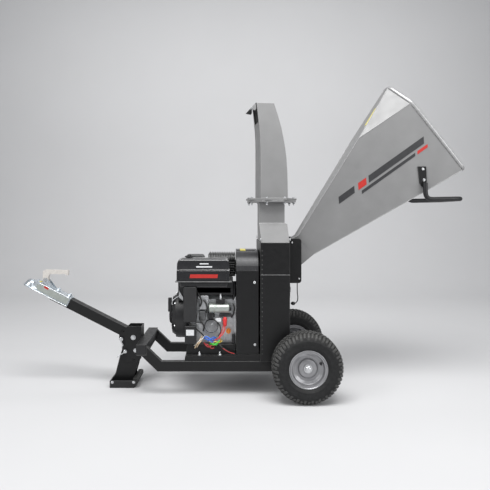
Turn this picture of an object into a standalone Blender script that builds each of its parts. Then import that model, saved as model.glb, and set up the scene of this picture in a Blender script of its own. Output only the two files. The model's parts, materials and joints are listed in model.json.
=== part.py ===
"""Towed wood chipper: two-wheeled chassis, folding drawbar and stand, petrol engine,
belt-driven cutting disc in a steel housing, feed hopper and turning discharge chute.

Metres, +Z up, ground at Z = 0. +X points to the hopper, -X to the drawbar, -Y to the
tank side. Everything below is placed from the wheel axle, whose middle is the parent
empty "machine"; that empty stands AXLE_X from the middle of the whole machine.
"""
from math import atan2, acos, cos, pi, radians, sin, tan

import bpy
import bmesh
from mathutils import Matrix, Vector

# ---------------------------------------------------------------- driving dimensions
AXLE_X = 0.3100            # axle, from the middle of the machine's length
GAP = 0.0003               # clearance between pieces that touch

WHEEL_R = 0.165            # 13 x 5.00-6 turf tyre
TYRE_HALF = 0.0635
TRACK_HALF = 0.271         # wheel centre from the machine's middle plane
BEAD_R = 0.0763
FLANGE_R = 0.089
AXLE_R = 0.0127
AXLE_Z = WHEEL_R

RAIL_OUT = 0.190           # outer face of the rails
RAIL_IN = 0.165
RAIL_LOW = 0.1165
RAIL_TOP = 0.1665
RAIL_REAR = -0.020
RAIL_BEND = -0.709
RAIL_SLOPE = radians(44)
TUBE = 0.050               # square tube of the front cross member and drawbar
CROSS_X = -0.813           # front face of the front cross member
CROSS_Z = 0.196
WALL = 0.003

PIVOT = (-0.855, 0.2455)   # drawbar pivot, X and Z
DRAW_PIN = (-0.914, 0.2395)
STAND = (-0.844, 0.179)    # stand pivot
STAND_PIN = (-0.894, 0.1765)
DRAW_ANGLE = radians(27)
DRAW_LEN = 0.475
PLATE_IN = 0.0355          # bracket side plates
PLATE_OUT = 0.0405
COUPLER_REAR = 0.377       # along the drawbar from its pivot
BALL_S = 0.598
BALL_N = -0.007
BALL_R = 0.0255
LEVER = (-1.314, 0.5375)   # coupling lever pivot
FOOT_LEN = (-0.966, -0.824)

BED_TOP = 0.241
CRANK = (-0.045, 0.365)    # crank axis, Y and Z
FILLER = (-0.565, -0.070)  # tank's filler neck, X and Y
ROTOR = (0.0, 0.485)       # rotor axis, Y and Z
PULLEY_SMALL = 0.038       # pitch radii
PULLEY_LARGE = 0.076
BELT_HALF = 0.004
BELT_X = (-0.298, -0.268)
DISC_R = 0.185
CYLINDER_TILT = radians(25)

HOUSE_X = (-0.213, -0.071)
HOUSE_Y = 0.200
HOUSE_LOW = 0.1672
HOUSE_SEAM = 0.584
HOUSE_TOP = 0.738
SHEET = 0.004
GUARD_X = (-0.328, -0.222)
GUARD_Z = (0.202, 0.603, 0.690)
INLET_X = (-0.0705, -0.005)
INLET_Z = (0.534, 0.755)
INLET_Y = 0.120

CHUTE_X = -0.147           # turning axis of the discharge chute
CHUTE_TURN = radians(8)
FLANGE_Z = (0.937, 0.9468, 0.9471, 0.957)
FLANGE_OCT = 0.133
SPOUT_TOP = 1.440
FLAP_HINGE = (-0.0905, 1.4385)

HOPPER_T = 0.003
MOUTH_DIR = Vector((0.7747, 0.0, 0.6325))
RIM_R = 0.010
HANDLE_R = 0.0115
LATCH = (-0.017, -0.050)   # latch lever axis, X and Y

# ---------------------------------------------------------------- scene and materials
for old in list(bpy.data.objects):
    bpy.data.objects.remove(old, do_unlink=True)


def make_material(name, colour, roughness, metallic):
    material = bpy.data.materials.new(name)
    material.use_nodes = True
    shader = material.node_tree.nodes["Principled BSDF"]
    shader.inputs["Base Color"].default_value = (*colour, 1.0)
    shader.inputs["Roughness"].default_value = roughness
    shader.inputs["Metallic"].default_value = metallic
    return material


FINISHES = {
    "black_paint": ((0.024, 0.024, 0.024), 0.55, 0.0),
    "grey_paint": ((0.32, 0.32, 0.32), 0.45, 0.1),
    "rubber": ((0.020, 0.021, 0.022), 0.85, 0.0),
    "rim_silver": ((0.42, 0.42, 0.43), 0.40, 0.6),
    "zinc": ((0.62, 0.66, 0.70), 0.30, 0.9),
    "steel": ((0.50, 0.50, 0.50), 0.35, 1.0),
    "aluminium": ((0.55, 0.56, 0.57), 0.45, 0.9),
    "black_plastic": ((0.018, 0.018, 0.020), 0.45, 0.0),
    "gloss_black": ((0.012, 0.012, 0.014), 0.20, 0.0),
    "cast_iron": ((0.10, 0.10, 0.10), 0.60, 0.8),
    "orange_plastic": ((0.85, 0.30, 0.04), 0.40, 0.0),
}


# ---------------------------------------------------------------- shape helpers
def solid(bm):
    """Turn a bmesh into an unnamed object with its faces pointing out."""
    bmesh.ops.recalc_face_normals(bm, faces=bm.faces[:])
    mesh = bpy.data.meshes.new("solid")
    bm.to_mesh(mesh)
    bm.free()
    result = bpy.data.objects.new("solid", mesh)
    bpy.context.scene.collection.objects.link(result)
    return result


def skin(rings, close_ends=True, loop=False):
    """Join rings of points with quads; the last ring meets the first if loop is set."""
    bm = bmesh.new()
    rows = [[bm.verts.new(point) for point in ring] for ring in rings]
    pairs = list(zip(rows, rows[1:]))
    if loop:
        pairs.append((rows[-1], rows[0]))
    for low, high in pairs:
        for i in range(len(low)):
            j = (i + 1) % len(low)
            bm.faces.new((low[i], low[j], high[j], high[i]))
    if close_ends and not loop:
        bm.faces.new(rows[0])
        bm.faces.new(rows[-1])
    bmesh.ops.remove_doubles(bm, verts=bm.verts[:], dist=1e-6)
    return solid(bm)


def on_axis(axis, u, v, w):
    """A point from two coordinates in a plane and one along the named axis."""
    return {"X": (w, u, v), "Y": (u, w, v), "Z": (u, v, w)}[axis]


def prism(outline, axis, low, high):
    return skin([[on_axis(axis, u, v, w) for u, v in outline] for w in (low, high)])


def block(x, y, z):
    outline = [(x[0], y[0]), (x[1], y[0]), (x[1], y[1]), (x[0], y[1])]
    return prism(outline, "Z", z[0], z[1])


def circle(centre, radius, sides, start=0.0):
    step = 2 * pi / sides
    return [(centre[0] + radius * cos(start + i * step), centre[1] + radius * sin(start + i * step))
            for i in range(sides)]


def rod(axis, centre, radius, low, high, sides=16):
    return prism(circle(centre, radius, sides), axis, low, high)


def arc(centre, radius, start, end, steps):
    """Points on an arc, angles in degrees."""
    return [(centre[0] + radius * cos(radians(start + (end - start) * i / steps)),
             centre[1] + radius * sin(radians(start + (end - start) * i / steps)))
            for i in range(steps + 1)]


def rounded(x, z, radius, corners, steps=4):
    """Rectangle outline with the listed corners rounded: 0 low left, then anticlockwise."""
    points = []
    places = [(x[0], z[0], 1, 1, 180), (x[1], z[0], -1, 1, 270),
              (x[1], z[1], -1, -1, 0), (x[0], z[1], 1, -1, 90)]
    for index, (px, pz, sx, sz, start) in enumerate(places):
        if index in corners:
            points += arc((px + sx * radius, pz + sz * radius), radius, start, start + 90, steps)
        else:
            points.append((px, pz))
    return points


def turned(profile, axis, centre, steps, at=0.0, sign=1):
    """Spin a closed profile of (radius, distance along the axis) about an axis."""
    rings = []
    for i in range(steps):
        turn = 2 * pi * i / steps
        rings.append([on_axis(axis, centre[0] + r * cos(turn), centre[1] + r * sin(turn),
                              at + sign * h) for r, h in profile])
    bm = bmesh.new()
    rows = [[bm.verts.new(point) for point in ring] for ring in rings]
    for i in range(steps):
        low, high = rows[i], rows[(i + 1) % steps]
        for a in range(len(profile)):
            b = (a + 1) % len(profile)
            if profile[a][0] == 0 and profile[b][0] == 0:
                continue
            bm.faces.new((low[a], low[b], high[b], high[a]))
    bmesh.ops.remove_doubles(bm, verts=bm.verts[:], dist=1e-6)
    return solid(bm)


def sweep(points, radius, sides=8, loop=False):
    """A round bar along a line of points, mitred at each of them."""
    path = [Vector(p) for p in points]
    count = len(path)
    rings = []
    side = None
    for i, here in enumerate(path):
        before = path[(i - 1) % count] if loop or i > 0 else None
        after = path[(i + 1) % count] if loop or i < count - 1 else None
        arrive = (here - before).normalized() if before else (after - here).normalized()
        leave = (after - here).normalized() if after else arrive
        tangent = (arrive + leave).normalized()
        if side is None:
            helper = Vector((0, 0, 1)) if abs(tangent.z) < 0.9 else Vector((1, 0, 0))
            side = tangent.cross(helper).normalized()
        side = (side - tangent * side.dot(tangent)).normalized()
        up = tangent.cross(side)
        bend = (leave - arrive)
        stretch = 1 / max(0.3, tangent.dot(leave))
        fold = bend.normalized() if bend.length > 1e-6 else None
        ring = []
        for k in range(sides):
            turn = 2 * pi * k / sides
            offset = side * cos(turn) * radius + up * sin(turn) * radius
            if fold:
                offset += fold * offset.dot(fold) * (stretch - 1)
            ring.append(here + offset)
        rings.append(ring)
    if loop:
        return skin(rings, close_ends=False, loop=True)
    return skin(rings)


def shell(outer, inner):
    """A duct: an outer and an inner run of rings, joined by flat edges at both ends."""
    rings = outer + inner[::-1]
    return skin(rings, close_ends=False, loop=True)


def boolean(base, tools, operation):
    for tool in tools:
        modifier = base.modifiers.new("shape", "BOOLEAN")
        modifier.operation = operation
        modifier.solver = "EXACT"
        modifier.object = tool
    bpy.context.view_layer.update()
    result = base.evaluated_get(bpy.context.evaluated_depsgraph_get())
    mesh = bpy.data.meshes.new_from_object(result)
    base.modifiers.clear()
    base.data = mesh
    for tool in tools:
        bpy.data.objects.remove(tool, do_unlink=True)
    return base


def join(base, *others):
    return boolean(base, others, "UNION")


def cut(base, *cutters):
    return boolean(base, cutters, "DIFFERENCE")


def mirrored(make):
    """Call make with -1 for the tank side and +1 for the far side."""
    return [make(name, sign) for name, sign in (("left", -1), ("right", 1))]


# ---------------------------------------------------------------- placing
MATERIALS = {name: make_material(name, *values) for name, values in FINISHES.items()}


def empty(name, place, parent=None, turn=0.0):
    marker = bpy.data.objects.new(name, None)
    bpy.context.scene.collection.objects.link(marker)
    marker.parent = parent
    marker.location = place
    marker.rotation_euler = (0, 0, turn)
    return marker


MACHINE = empty("machine", (AXLE_X, 0, 0))


def body(name, place=(0, 0, 0), turn=0.0, parent=MACHINE):
    """A moving group's empty, standing on its joint's axis."""
    return empty("body_" + name, place, parent, turn)


def node(name, shape, finish, group=MACHINE, smooth=False, local=False):
    """Name a solid, give it its finish and hang it on its group's empty."""
    shape.name = name
    shape.data.name = name
    if not local and group is not MACHINE:
        shape.data.transform(Matrix.Translation(-Vector(group.location)))
    shape.data.materials.clear()
    shape.data.materials.append(MATERIALS[finish])
    if smooth:
        shape.data.shade_smooth()
        shape.data.set_sharp_from_angle(angle=radians(35))
    shape.parent = group
    return shape


def hex_bolt(place, radius, head, low, high, axis="Y"):
    """A bolt with a hexagon head at its low end and a nut at its high end."""
    shank = rod(axis, place, radius, low, high, 12)
    top = prism(circle(place, head, 6), axis, low + 0.0015, low + 0.009)
    nut = prism(circle(place, head, 6), axis, high - 0.010, high - 0.002)
    return join(shank, top, nut)


# ---------------------------------------------------------------- wheels and axle
def wheel(side_name, side):
    middle = side * TRACK_HALF
    group = body("wheel_" + side_name, (0, middle, AXLE_Z))
    half = [(BEAD_R + GAP, 0.0515), (FLANGE_R, 0.0518), (0.098, 0.0580), (0.125, TYRE_HALF),
            (0.150, 0.0580), (0.162, 0.0400), (WHEEL_R, 0.0180)]
    inside = [(0.157, 0.0), (0.155, 0.030), (0.146, 0.049), (0.125, 0.0555), (0.104, 0.0515),
              (0.092, 0.0455), (BEAD_R + GAP, 0.0445)]
    outer = [(r, -h) for r, h in half] + [(r, h) for r, h in reversed(half)]
    inner = [(r, h) for r, h in reversed(inside[1:])] + [(r, -h) for r, h in inside]
    node("tyre_" + side_name, turned(outer + inner, "Y", (0, AXLE_Z), 24, middle),
         "rubber", group, smooth=True)
    rim = [(FLANGE_R, -0.0555), (FLANGE_R, -0.0525), (BEAD_R, -0.0522), (BEAD_R, 0.0522),
           (FLANGE_R, 0.0525), (FLANGE_R, 0.0555), (0.0733, 0.0555), (0.0733, 0.0300),
           (0.0600, 0.0240), (0.0450, 0.0240), (0.0410, 0.0320), (0.0215, 0.0340),
           (0.0215, 0.0370), (AXLE_R + GAP, 0.0370), (AXLE_R + GAP, -0.0400), (0.0215, -0.0400),
           (0.0215, 0.0310), (0.0395, 0.0290), (0.0435, 0.0210), (0.0600, 0.0210),
           (0.0733, 0.0265), (0.0733, -0.0555)]
    node("rim_" + side_name, turned(rim, "Y", (0, AXLE_Z), 24, middle, side),
         "rim_silver", group, smooth=True)


def axle():
    shaft = join(rod("Y", (0, AXLE_Z), AXLE_R, -0.322, 0.322, 16),
                 rod("Y", (0, AXLE_Z), 0.0165, 0.1655, 0.2300, 16),
                 rod("Y", (0, AXLE_Z), 0.0165, -0.2300, -0.1655, 16))
    node("axle", shaft, "steel", smooth=True)
    outline = [(-0.075, 0.1185), (0.020, 0.1185), (0.030, 0.140), (0.030, 0.175),
               (0.015, 0.190), (-0.015, 0.190), (-0.075, 0.165)]
    carrier = block((-0.072, -0.022), (-0.160, 0.160), (0.1190, 0.1635))
    hollow = block((-0.068, -0.026), (-0.170, 0.170), (0.1225, 0.1600))
    plates = [prism(outline, "Y", low, low + 0.0100) for low in (0.1545, -0.1645)]
    bore = rod("Y", (0, AXLE_Z), AXLE_R + GAP, -0.2, 0.2, 16)
    node("axle_carrier", cut(join(carrier, *plates), hollow, bore), "black_paint")


# ---------------------------------------------------------------- chassis
def rail(side_name, side):
    slope = Vector((-cos(RAIL_SLOPE), sin(RAIL_SLOPE)))
    across = Vector((sin(RAIL_SLOPE), cos(RAIL_SLOPE)))
    bend_top = RAIL_BEND + TUBE * tan(RAIL_SLOPE / 2)
    seat_x = CROSS_X + TUBE + GAP
    seat_z = CROSS_Z - GAP
    toe_x = RAIL_BEND - (seat_z - RAIL_LOW) / tan(RAIL_SLOPE)
    outline = [(RAIL_REAR, RAIL_LOW), (RAIL_BEND, RAIL_LOW), (toe_x, seat_z), (seat_x, seat_z),
               (seat_x, RAIL_TOP + (bend_top - seat_x) * tan(RAIL_SLOPE)),
               (bend_top, RAIL_TOP), (RAIL_REAR, RAIL_TOP)]
    corner = Vector((RAIL_BEND + WALL * tan(RAIL_SLOPE / 2), RAIL_LOW + WALL))
    end_low = corner + slope * 0.085
    end_high = end_low + across * (TUBE - 2 * WALL)
    hollow = [(0.0, corner.y), tuple(corner), tuple(end_low), tuple(end_high),
              (bend_top - WALL * tan(RAIL_SLOPE / 2), RAIL_TOP - WALL), (0.0, RAIL_TOP - WALL)]
    low, high = sorted((side * RAIL_IN, side * RAIL_OUT))
    shape = cut(prism(outline, "Y", low, high),
                prism(hollow, "Y", low + WALL, high - WALL))
    node("rail_" + side_name, shape, "black_paint")


def front_cross_tube():
    x = (CROSS_X, CROSS_X + TUBE)
    z = (CROSS_Z, CROSS_Z + TUBE)
    shape = cut(block(x, (-RAIL_OUT, RAIL_OUT), z),
                block((x[0] + WALL, x[1] - WALL), (-RAIL_OUT + WALL, RAIL_OUT + 0.01),
                      (z[0] + WALL, z[1] - WALL)))
    node("front_cross_tube", shape, "black_paint")


def hinge_bracket():
    face = CROSS_X - GAP
    outline = [(face, 0.302), (-0.884, 0.302), (-0.927, 0.262), (-0.927, 0.234),
               (-0.912, 0.219), (-0.912, 0.160), (-0.896, 0.120), (-0.835, 0.120),
               (face, 0.140)]
    plates = [prism(outline, "Y", low, low + PLATE_OUT - PLATE_IN)
              for low in (PLATE_IN, -PLATE_OUT)]
    web = block((face - 0.005, face), (-PLATE_OUT + 0.001, PLATE_OUT - 0.001), (0.150, 0.300))
    holes = [(PIVOT, 0.0083), (DRAW_PIN, 0.0068), ((-0.905, 0.274), 0.005),
             (STAND_PIN, 0.0063), (STAND, 0.0063), ((-0.851, 0.131), 0.005)]
    drills = [rod("Y", place, radius, -0.06, 0.06, 12) for place, radius in holes]
    node("hinge_bracket", cut(join(web, *plates), *drills), "black_paint")
    node("drawbar_pivot_bolt", hex_bolt(PIVOT, 0.0078, 0.0145, -0.0505, 0.0515), "zinc")
    node("stand_pivot_bolt", hex_bolt(STAND, 0.0058, 0.0100, -0.0505, 0.0515), "zinc")


def pull_pin(name, place, radius):
    """A plain pin with a round head on the tank side."""
    group = body(name, (place[0], 0, place[1]))
    shape = join(rod("Y", place, radius, -0.0500, 0.0480, 12),
                 rod("Y", place, radius + 0.003, -0.0530, -0.0485, 12))
    node(name, shape, "zinc", group, smooth=True)


# ---------------------------------------------------------------- stand
def from_stand(degrees, radius):
    return (STAND[0] + radius * cos(radians(degrees)), STAND[1] + radius * sin(radians(degrees)))


def stand():
    group = body("stand", (STAND[0], 0, STAND[1]))
    outline = [(-0.8617, 0.0068), (-0.822, 0.149)] + arc(STAND, 0.0245, -45, 95, 7)
    outline += [from_stand(168, 0.068), (-0.925, 0.146), (-0.9603, 0.0068)]
    leaf = 0.005
    plates = [prism(outline, "Y", low, low + leaf) for low in (0.0295, -0.0345)]
    web = prism([(-0.9603, 0.0068), (-0.9253, 0.142), (-0.9213, 0.142), (-0.9563, 0.0068)],
                "Y", -0.0335, 0.0335)
    slot_out = arc(STAND, 0.0500 + 0.0066, 176, 245, 10)
    slot_in = arc(STAND, 0.0500 - 0.0066, 245, 176, 10)
    slot = prism(slot_out + slot_in, "Y", -0.05, 0.05)
    bore = rod("Y", STAND, 0.0062, -0.05, 0.05, 12)
    node("stand_leg", cut(join(web, *plates), slot, bore), "black_paint", group)
    low, high = FOOT_LEN
    foot = [(low, 0.0), (high - 0.018, 0.0), (high, 0.028), (high, 0.044), (high - 0.006, 0.048),
            (high - 0.024, 0.048), (high - 0.024, 0.036), (low, 0.036)]
    pan = cut(prism(foot, "Y", -0.080, 0.080),
              block((low + 0.004, high - 0.026), (-0.076, 0.076), (0.0065, 0.10)))
    node("stand_foot", pan, "black_paint", group)


# ---------------------------------------------------------------- drawbar and coupling
def along_drawbar(s, n):
    """X and Z of a point s along the drawbar from its pivot and n above its middle."""
    return (PIVOT[0] - s * cos(DRAW_ANGLE) + n * sin(DRAW_ANGLE),
            PIVOT[1] + s * sin(DRAW_ANGLE) + n * cos(DRAW_ANGLE))


def drawbar_block(s, y, n):
    outline = [along_drawbar(*p) for p in
               ((s[0], n[0]), (s[1], n[0]), (s[1], n[1]), (s[0], n[1]))]
    return prism(outline, "Y", y[0], y[1])


def drawbar():
    group = body("drawbar", (PIVOT[0], 0, PIVOT[1]))
    half = TUBE / 2
    bore = half - WALL
    tube = cut(drawbar_block((-0.026, DRAW_LEN), (-half, half), (-half, half)),
               drawbar_block((-0.1, DRAW_LEN + 0.1), (-bore, bore), (-bore, bore)),
               rod("Y", PIVOT, 0.0082, -0.05, 0.05, 12))
    node("drawbar_tube", tube, "black_paint", group)

    inner = half + GAP
    outer = inner + SHEET
    channel = drawbar_block((COUPLER_REAR, BALL_S - 0.012), (-outer, outer), (-0.014, outer))
    lips = drawbar_block((COUPLER_REAR, BALL_S - 0.012), (-0.037, 0.037), (-0.018, -0.0135))
    centre = along_drawbar(BALL_S, BALL_N)
    frame = Matrix.Translation((centre[0], 0, centre[1])) @ Matrix.Rotation(DRAW_ANGLE, 4, "Y")
    dome = turned([(0, -0.0110), (0.0370, -0.0110), (0.0370, -0.0065), (0.0315, -0.0040)]
                  + arc((0, 0), 0.0310, 0, 90, 6), "Z", (0, 0), 20)
    dome.data.transform(frame)
    ears = [prism([along_drawbar(0.515, 0.027), along_drawbar(0.465, 0.027),
                   (LEVER[0] + 0.011, LEVER[1] + 0.004), (LEVER[0] + 0.004, LEVER[1] + 0.010),
                   (LEVER[0] - 0.007, LEVER[1] + 0.008), (LEVER[0] - 0.014, LEVER[1] - 0.004)],
                  "Y", low, low + 0.003) for low in (0.0130, -0.0160)]
    coupler = join(channel, lips, dome, *ears)
    hollow = drawbar_block((COUPLER_REAR - 0.05, 0.560), (-inner, inner), (-0.05, inner))
    throat = drawbar_block((0.555, BALL_S), (-0.0175, 0.0175), (-0.05, 0.012))
    ball = turned([(0, -0.05), (BALL_R, -0.05)] + arc((0, 0), BALL_R, 0, 90, 6), "Z", (0, 0), 20)
    ball.data.transform(frame)
    coupler = cut(coupler, hollow, throat, ball)
    pin = rod("Y", LEVER, 0.0040, -0.0180, 0.0180, 12)
    node("coupler_body", join(coupler, pin), "zinc", group, smooth=True)

    grip = body("coupler_lever", (LEVER[0], 0, LEVER[1]))
    wave = [(-1.292, 0.5680), (-1.276, 0.5650), (-1.260, 0.5670), (-1.244, 0.5645),
            (-1.228, 0.5670), (-1.214, 0.5650)]
    outline = [(-1.3290, 0.5240), (-1.3010, 0.5260), (-1.3000, 0.5560)] + wave
    outline += [(-1.2070, 0.5590), (-1.1990, 0.5600), (-1.1970, 0.5860), (-1.2080, 0.5860),
                (-1.3160, 0.5890), (-1.3290, 0.5800)]
    lever = cut(prism(outline, "Y", -0.0110, 0.0110), rod("Y", LEVER, 0.0043, -0.03, 0.03, 12))
    node("coupler_lever", lever, "aluminium", grip)
    jaw_x, jaw_z = along_drawbar(0.56, 0)
    clamp = body("ball_clamp", (jaw_x, 0, jaw_z))
    jaw = drawbar_block((0.535, 0.566), (-0.0165, 0.0165), (-0.012, 0.008))
    node("ball_clamp", jaw, "steel", clamp)


# ---------------------------------------------------------------- engine
def engine_bed():
    out, inn, ledge = 0.1895, 0.1650, 0.1930
    t = SHEET
    hat = [(-out, HOUSE_LOW), (-out, ledge), (-inn, ledge), (-inn, BED_TOP), (inn, BED_TOP),
           (inn, ledge), (out, ledge), (out, HOUSE_LOW), (out - t, HOUSE_LOW),
           (out - t, ledge - t), (inn - t, ledge - t), (inn - t, BED_TOP - t),
           (t - inn, BED_TOP - t), (t - inn, ledge - t), (t - out, ledge - t), (t - out, HOUSE_LOW)]
    bed = prism(hat, "X", -0.580, -0.335)
    for vertex in bed.data.vertices:
        if vertex.co.x < -0.5:
            vertex.co.x += (vertex.co.z - HOUSE_LOW) * 0.20
    top = 0.1985
    tray = [(-out, HOUSE_LOW), (-out, top), (out, top), (out, HOUSE_LOW), (out - t, HOUSE_LOW),
            (out - t, top - t), (t - out, top - t), (t - out, HOUSE_LOW)]
    node("engine_bed", join(bed, prism(tray, "X", -0.337, HOUSE_X[0] - GAP)), "black_paint")


def up_cylinder(t, v):
    """Y and Z of a point t along the cylinder from the crank and v above its middle."""
    return (CRANK[0] + t * cos(CYLINDER_TILT) - v * sin(CYLINDER_TILT),
            CRANK[1] + t * sin(CYLINDER_TILT) + v * cos(CYLINDER_TILT))


def cylinder_block(x, t, v):
    outline = [up_cylinder(*p) for p in ((t[0], v[0]), (t[1], v[0]), (t[1], v[1]), (t[0], v[1]))]
    return prism(outline, "X", x[0], x[1])


def crankcase():
    low = BED_TOP + GAP
    outline = [(-0.125, low), (0.080, low), up_cylinder(0.150, -0.055), up_cylinder(0.150, 0.055),
               (-0.100, 0.478), (-0.125, 0.455)]
    hollow = [(-0.117, low + 0.010), (0.070, low + 0.010), up_cylinder(0.140, -0.045),
              up_cylinder(0.140, 0.045), (-0.096, 0.470), (-0.117, 0.451)]
    cover = [(-0.140, low), (0.095, low), (0.100, 0.440), (0.040, 0.500), (-0.110, 0.500),
             (-0.140, 0.470)]
    case = join(prism(outline, "X", -0.560, -0.338), prism(cover, "X", -0.340, -0.331))
    case = cut(case, prism(hollow, "X", -0.552, -0.348),
               rod("X", CRANK, 0.0205, -0.7, -0.2, 16))
    node("crankcase", case, "aluminium")


def cylinder_and_head():
    core = cylinder_block((-0.498, -0.402), (0.1505, 0.250), (-0.043, 0.043))
    fins = [cylinder_block((-0.510, -0.390), (t, t + 0.004), (-0.055, 0.055))
            for t in (0.158, 0.171, 0.184, 0.197, 0.210, 0.223)]
    cover = cylinder_block((-0.492, -0.408), (0.2490, 0.270), (-0.038, 0.038))
    node("cylinder", join(core, cover, *fins), "aluminium")


def blower_shroud():
    scroll = prism(circle(CRANK, 0.1135, 20), "X", -0.622, -0.5605)
    roof = block((-0.600, -0.345), (-0.150, 0.068), (0.4810, 0.5440))
    neck = block((-0.615, -0.5605), (-0.135, 0.062), (0.4500, 0.5430))
    shape = cut(join(scroll, neck, roof), rod("X", CRANK, 0.097, -0.7, -0.568, 20),
                rod("X", CRANK, 0.0205, -0.7, -0.5, 16),
                block((-0.560, -0.350), (-0.145, 0.063), (0.4700, 0.5400)),
                block((-0.365, -0.300), (-0.100, 0.055), (0.4950, 0.5350)))
    node("blower_shroud", shape, "black_plastic", smooth=True)
    face = -0.622 - GAP
    cover = [(0, 0.0435), (0.038, 0.0435), (0.050, 0.0280), (0.098, 0.0200), (0.103, 0.0080),
             (0.112, 0.0070), (0.112, 0), (0.098, 0), (0.095, 0.0160), (0.048, 0.0240),
             (0.036, 0.0395), (0, 0.0395)]
    node("recoil_cover", turned(cover, "X", CRANK, 24, face, -1), "black_plastic", smooth=True)
    group = body("recoil_handle", (-0.658, -0.107, 0.421))
    grip = join(block((-0.6670, -0.6500), (-0.117, -0.097), (0.392, 0.460)),
                rod("X", (-0.107, 0.421), 0.006, -0.6505, -0.6470, 10))
    node("recoil_handle", grip, "black_plastic", group)


def fuel_tank():
    side = [(-0.190, 0.552), (-0.190, 0.600), (-0.182, 0.612), (-0.176, 0.648), (-0.160, 0.662),
            (0.010, 0.652), (0.030, 0.636), (0.034, 0.552)]
    upper = prism(side, "X", -0.617, -0.362)
    ends = [prism([(-0.63, 0.62), (-0.617, 0.62), (-0.589, 0.70), (-0.63, 0.70)], "Y", -0.3, 0.3),
            prism([(-0.350, 0.63), (-0.362, 0.63), (-0.385, 0.70), (-0.350, 0.70)], "Y", -0.3, 0.3)]
    lip = block((-0.624, -0.350), (-0.196, 0.040), (0.5470, 0.5525))
    tub = block((-0.606, -0.366), (-0.182, 0.026), (0.5445, 0.5480))
    hollow = block((-0.606, -0.372), (-0.165, 0.015), (0.552, 0.640))
    filler = rod("Z", FILLER, 0.018, 0.60, 0.70, 12)
    node("fuel_tank", cut(join(cut(upper, *ends), lip, tub), hollow, filler), "gloss_black")
    group = body("fuel_cap", (*FILLER, 0.664))
    cap = join(rod("Z", FILLER, 0.022, 0.6595, 0.6650, 16),
               rod("Z", FILLER, 0.009, 0.6640, 0.6725, 12),
               rod("Z", FILLER, 0.0165, 0.6480, 0.6600, 12))
    node("fuel_cap", cap, "black_plastic", group, smooth=True)


def engine_fittings():
    box = rounded((-0.584, -0.521), (0.355, 0.524), 0.006, (0, 1, 2, 3), 2)
    node("control_box", prism(box, "Y", -0.190, -0.1600), "black_plastic")
    starter = [(0, 0), (0.0200, 0), (0.0240, 0.004), (0.0240, 0.030), (0.0222, 0.031),
               (0.0222, 0.098), (0.0140, 0.106), (0, 0.106)]
    node("starter_motor", turned(starter, "X", (-0.154, 0.417), 20, -0.462), "aluminium",
         smooth=True)
    cap = [(0, 0), (0.034, 0), (0.034, 0.012), (0.030, 0.016), (0.012, 0.018), (0, 0.018)]
    node("regulator", turned(cap, "Y", (-0.451, 0.3255), 20, -0.1255, -1), "cast_iron",
         smooth=True)
    group = body("oil_plug", (-0.367, -0.135, 0.300))
    plug = join(rod("Y", (-0.367, 0.300), 0.0120, -0.1420, -0.1255, 12),
                block((-0.3695, -0.3645), (-0.1530, -0.1415), (0.2900, 0.3100)))
    node("oil_plug", plug, "orange_plastic", group)
    node("air_filter", prism(rounded((-0.605, -0.500), (0.550, 0.655), 0.018, (0, 1, 2, 3)),
                             "Y", 0.060, 0.200), "black_plastic")
    node("muffler", prism(rounded((0.066, 0.186), (0.556, 0.640), 0.022, (0, 1, 2, 3)), "X",
                          -0.465, -0.345), "steel")
    guard = prism(rounded((0.050, 0.204), (0.548, 0.664), 0.028, (2, 3)), "X", -0.476, -0.332)
    inside = prism(rounded((0.054, 0.200), (0.500, 0.660), 0.025, (2, 3)), "X", -0.472, -0.336)
    node("muffler_guard", cut(guard, inside), "black_paint")


# ---------------------------------------------------------------- belt drive and rotor
def pulley(centre, pitch, bore, shift=0.0):
    low, high = BELT_X[0] - 0.004, BELT_X[1] + 0.004
    seat = pitch - BELT_HALF - 0.0013
    rim = pitch + 0.003
    profile = [(bore, low), (rim, low), (rim, low + 0.0035), (seat, low + 0.0037),
               (seat, high - 0.0037), (rim, high - 0.0035), (rim, high), (bore, high)]
    return turned(profile, "X", centre, 24)


def belt_loop(grow):
    """Outline of the belts round both pulleys, grow outside their pitch line."""
    across = Vector((ROTOR[0] - CRANK[0], ROTOR[1] - CRANK[1]))
    heading = atan2(across.y, across.x)
    lean = acos((PULLEY_SMALL - PULLEY_LARGE) / across.length)
    steps = 14
    points = []
    for i in range(steps + 1):
        turn = heading - lean + 2 * lean * i / steps
        points.append((ROTOR[0] + (PULLEY_LARGE + grow) * cos(turn),
                       ROTOR[1] + (PULLEY_LARGE + grow) * sin(turn)))
    for i in range(steps + 1):
        turn = heading + lean + (2 * pi - 2 * lean) * i / steps
        points.append((CRANK[0] + (PULLEY_SMALL + grow) * cos(turn),
                       CRANK[1] + (PULLEY_SMALL + grow) * sin(turn)))
    return points


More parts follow.
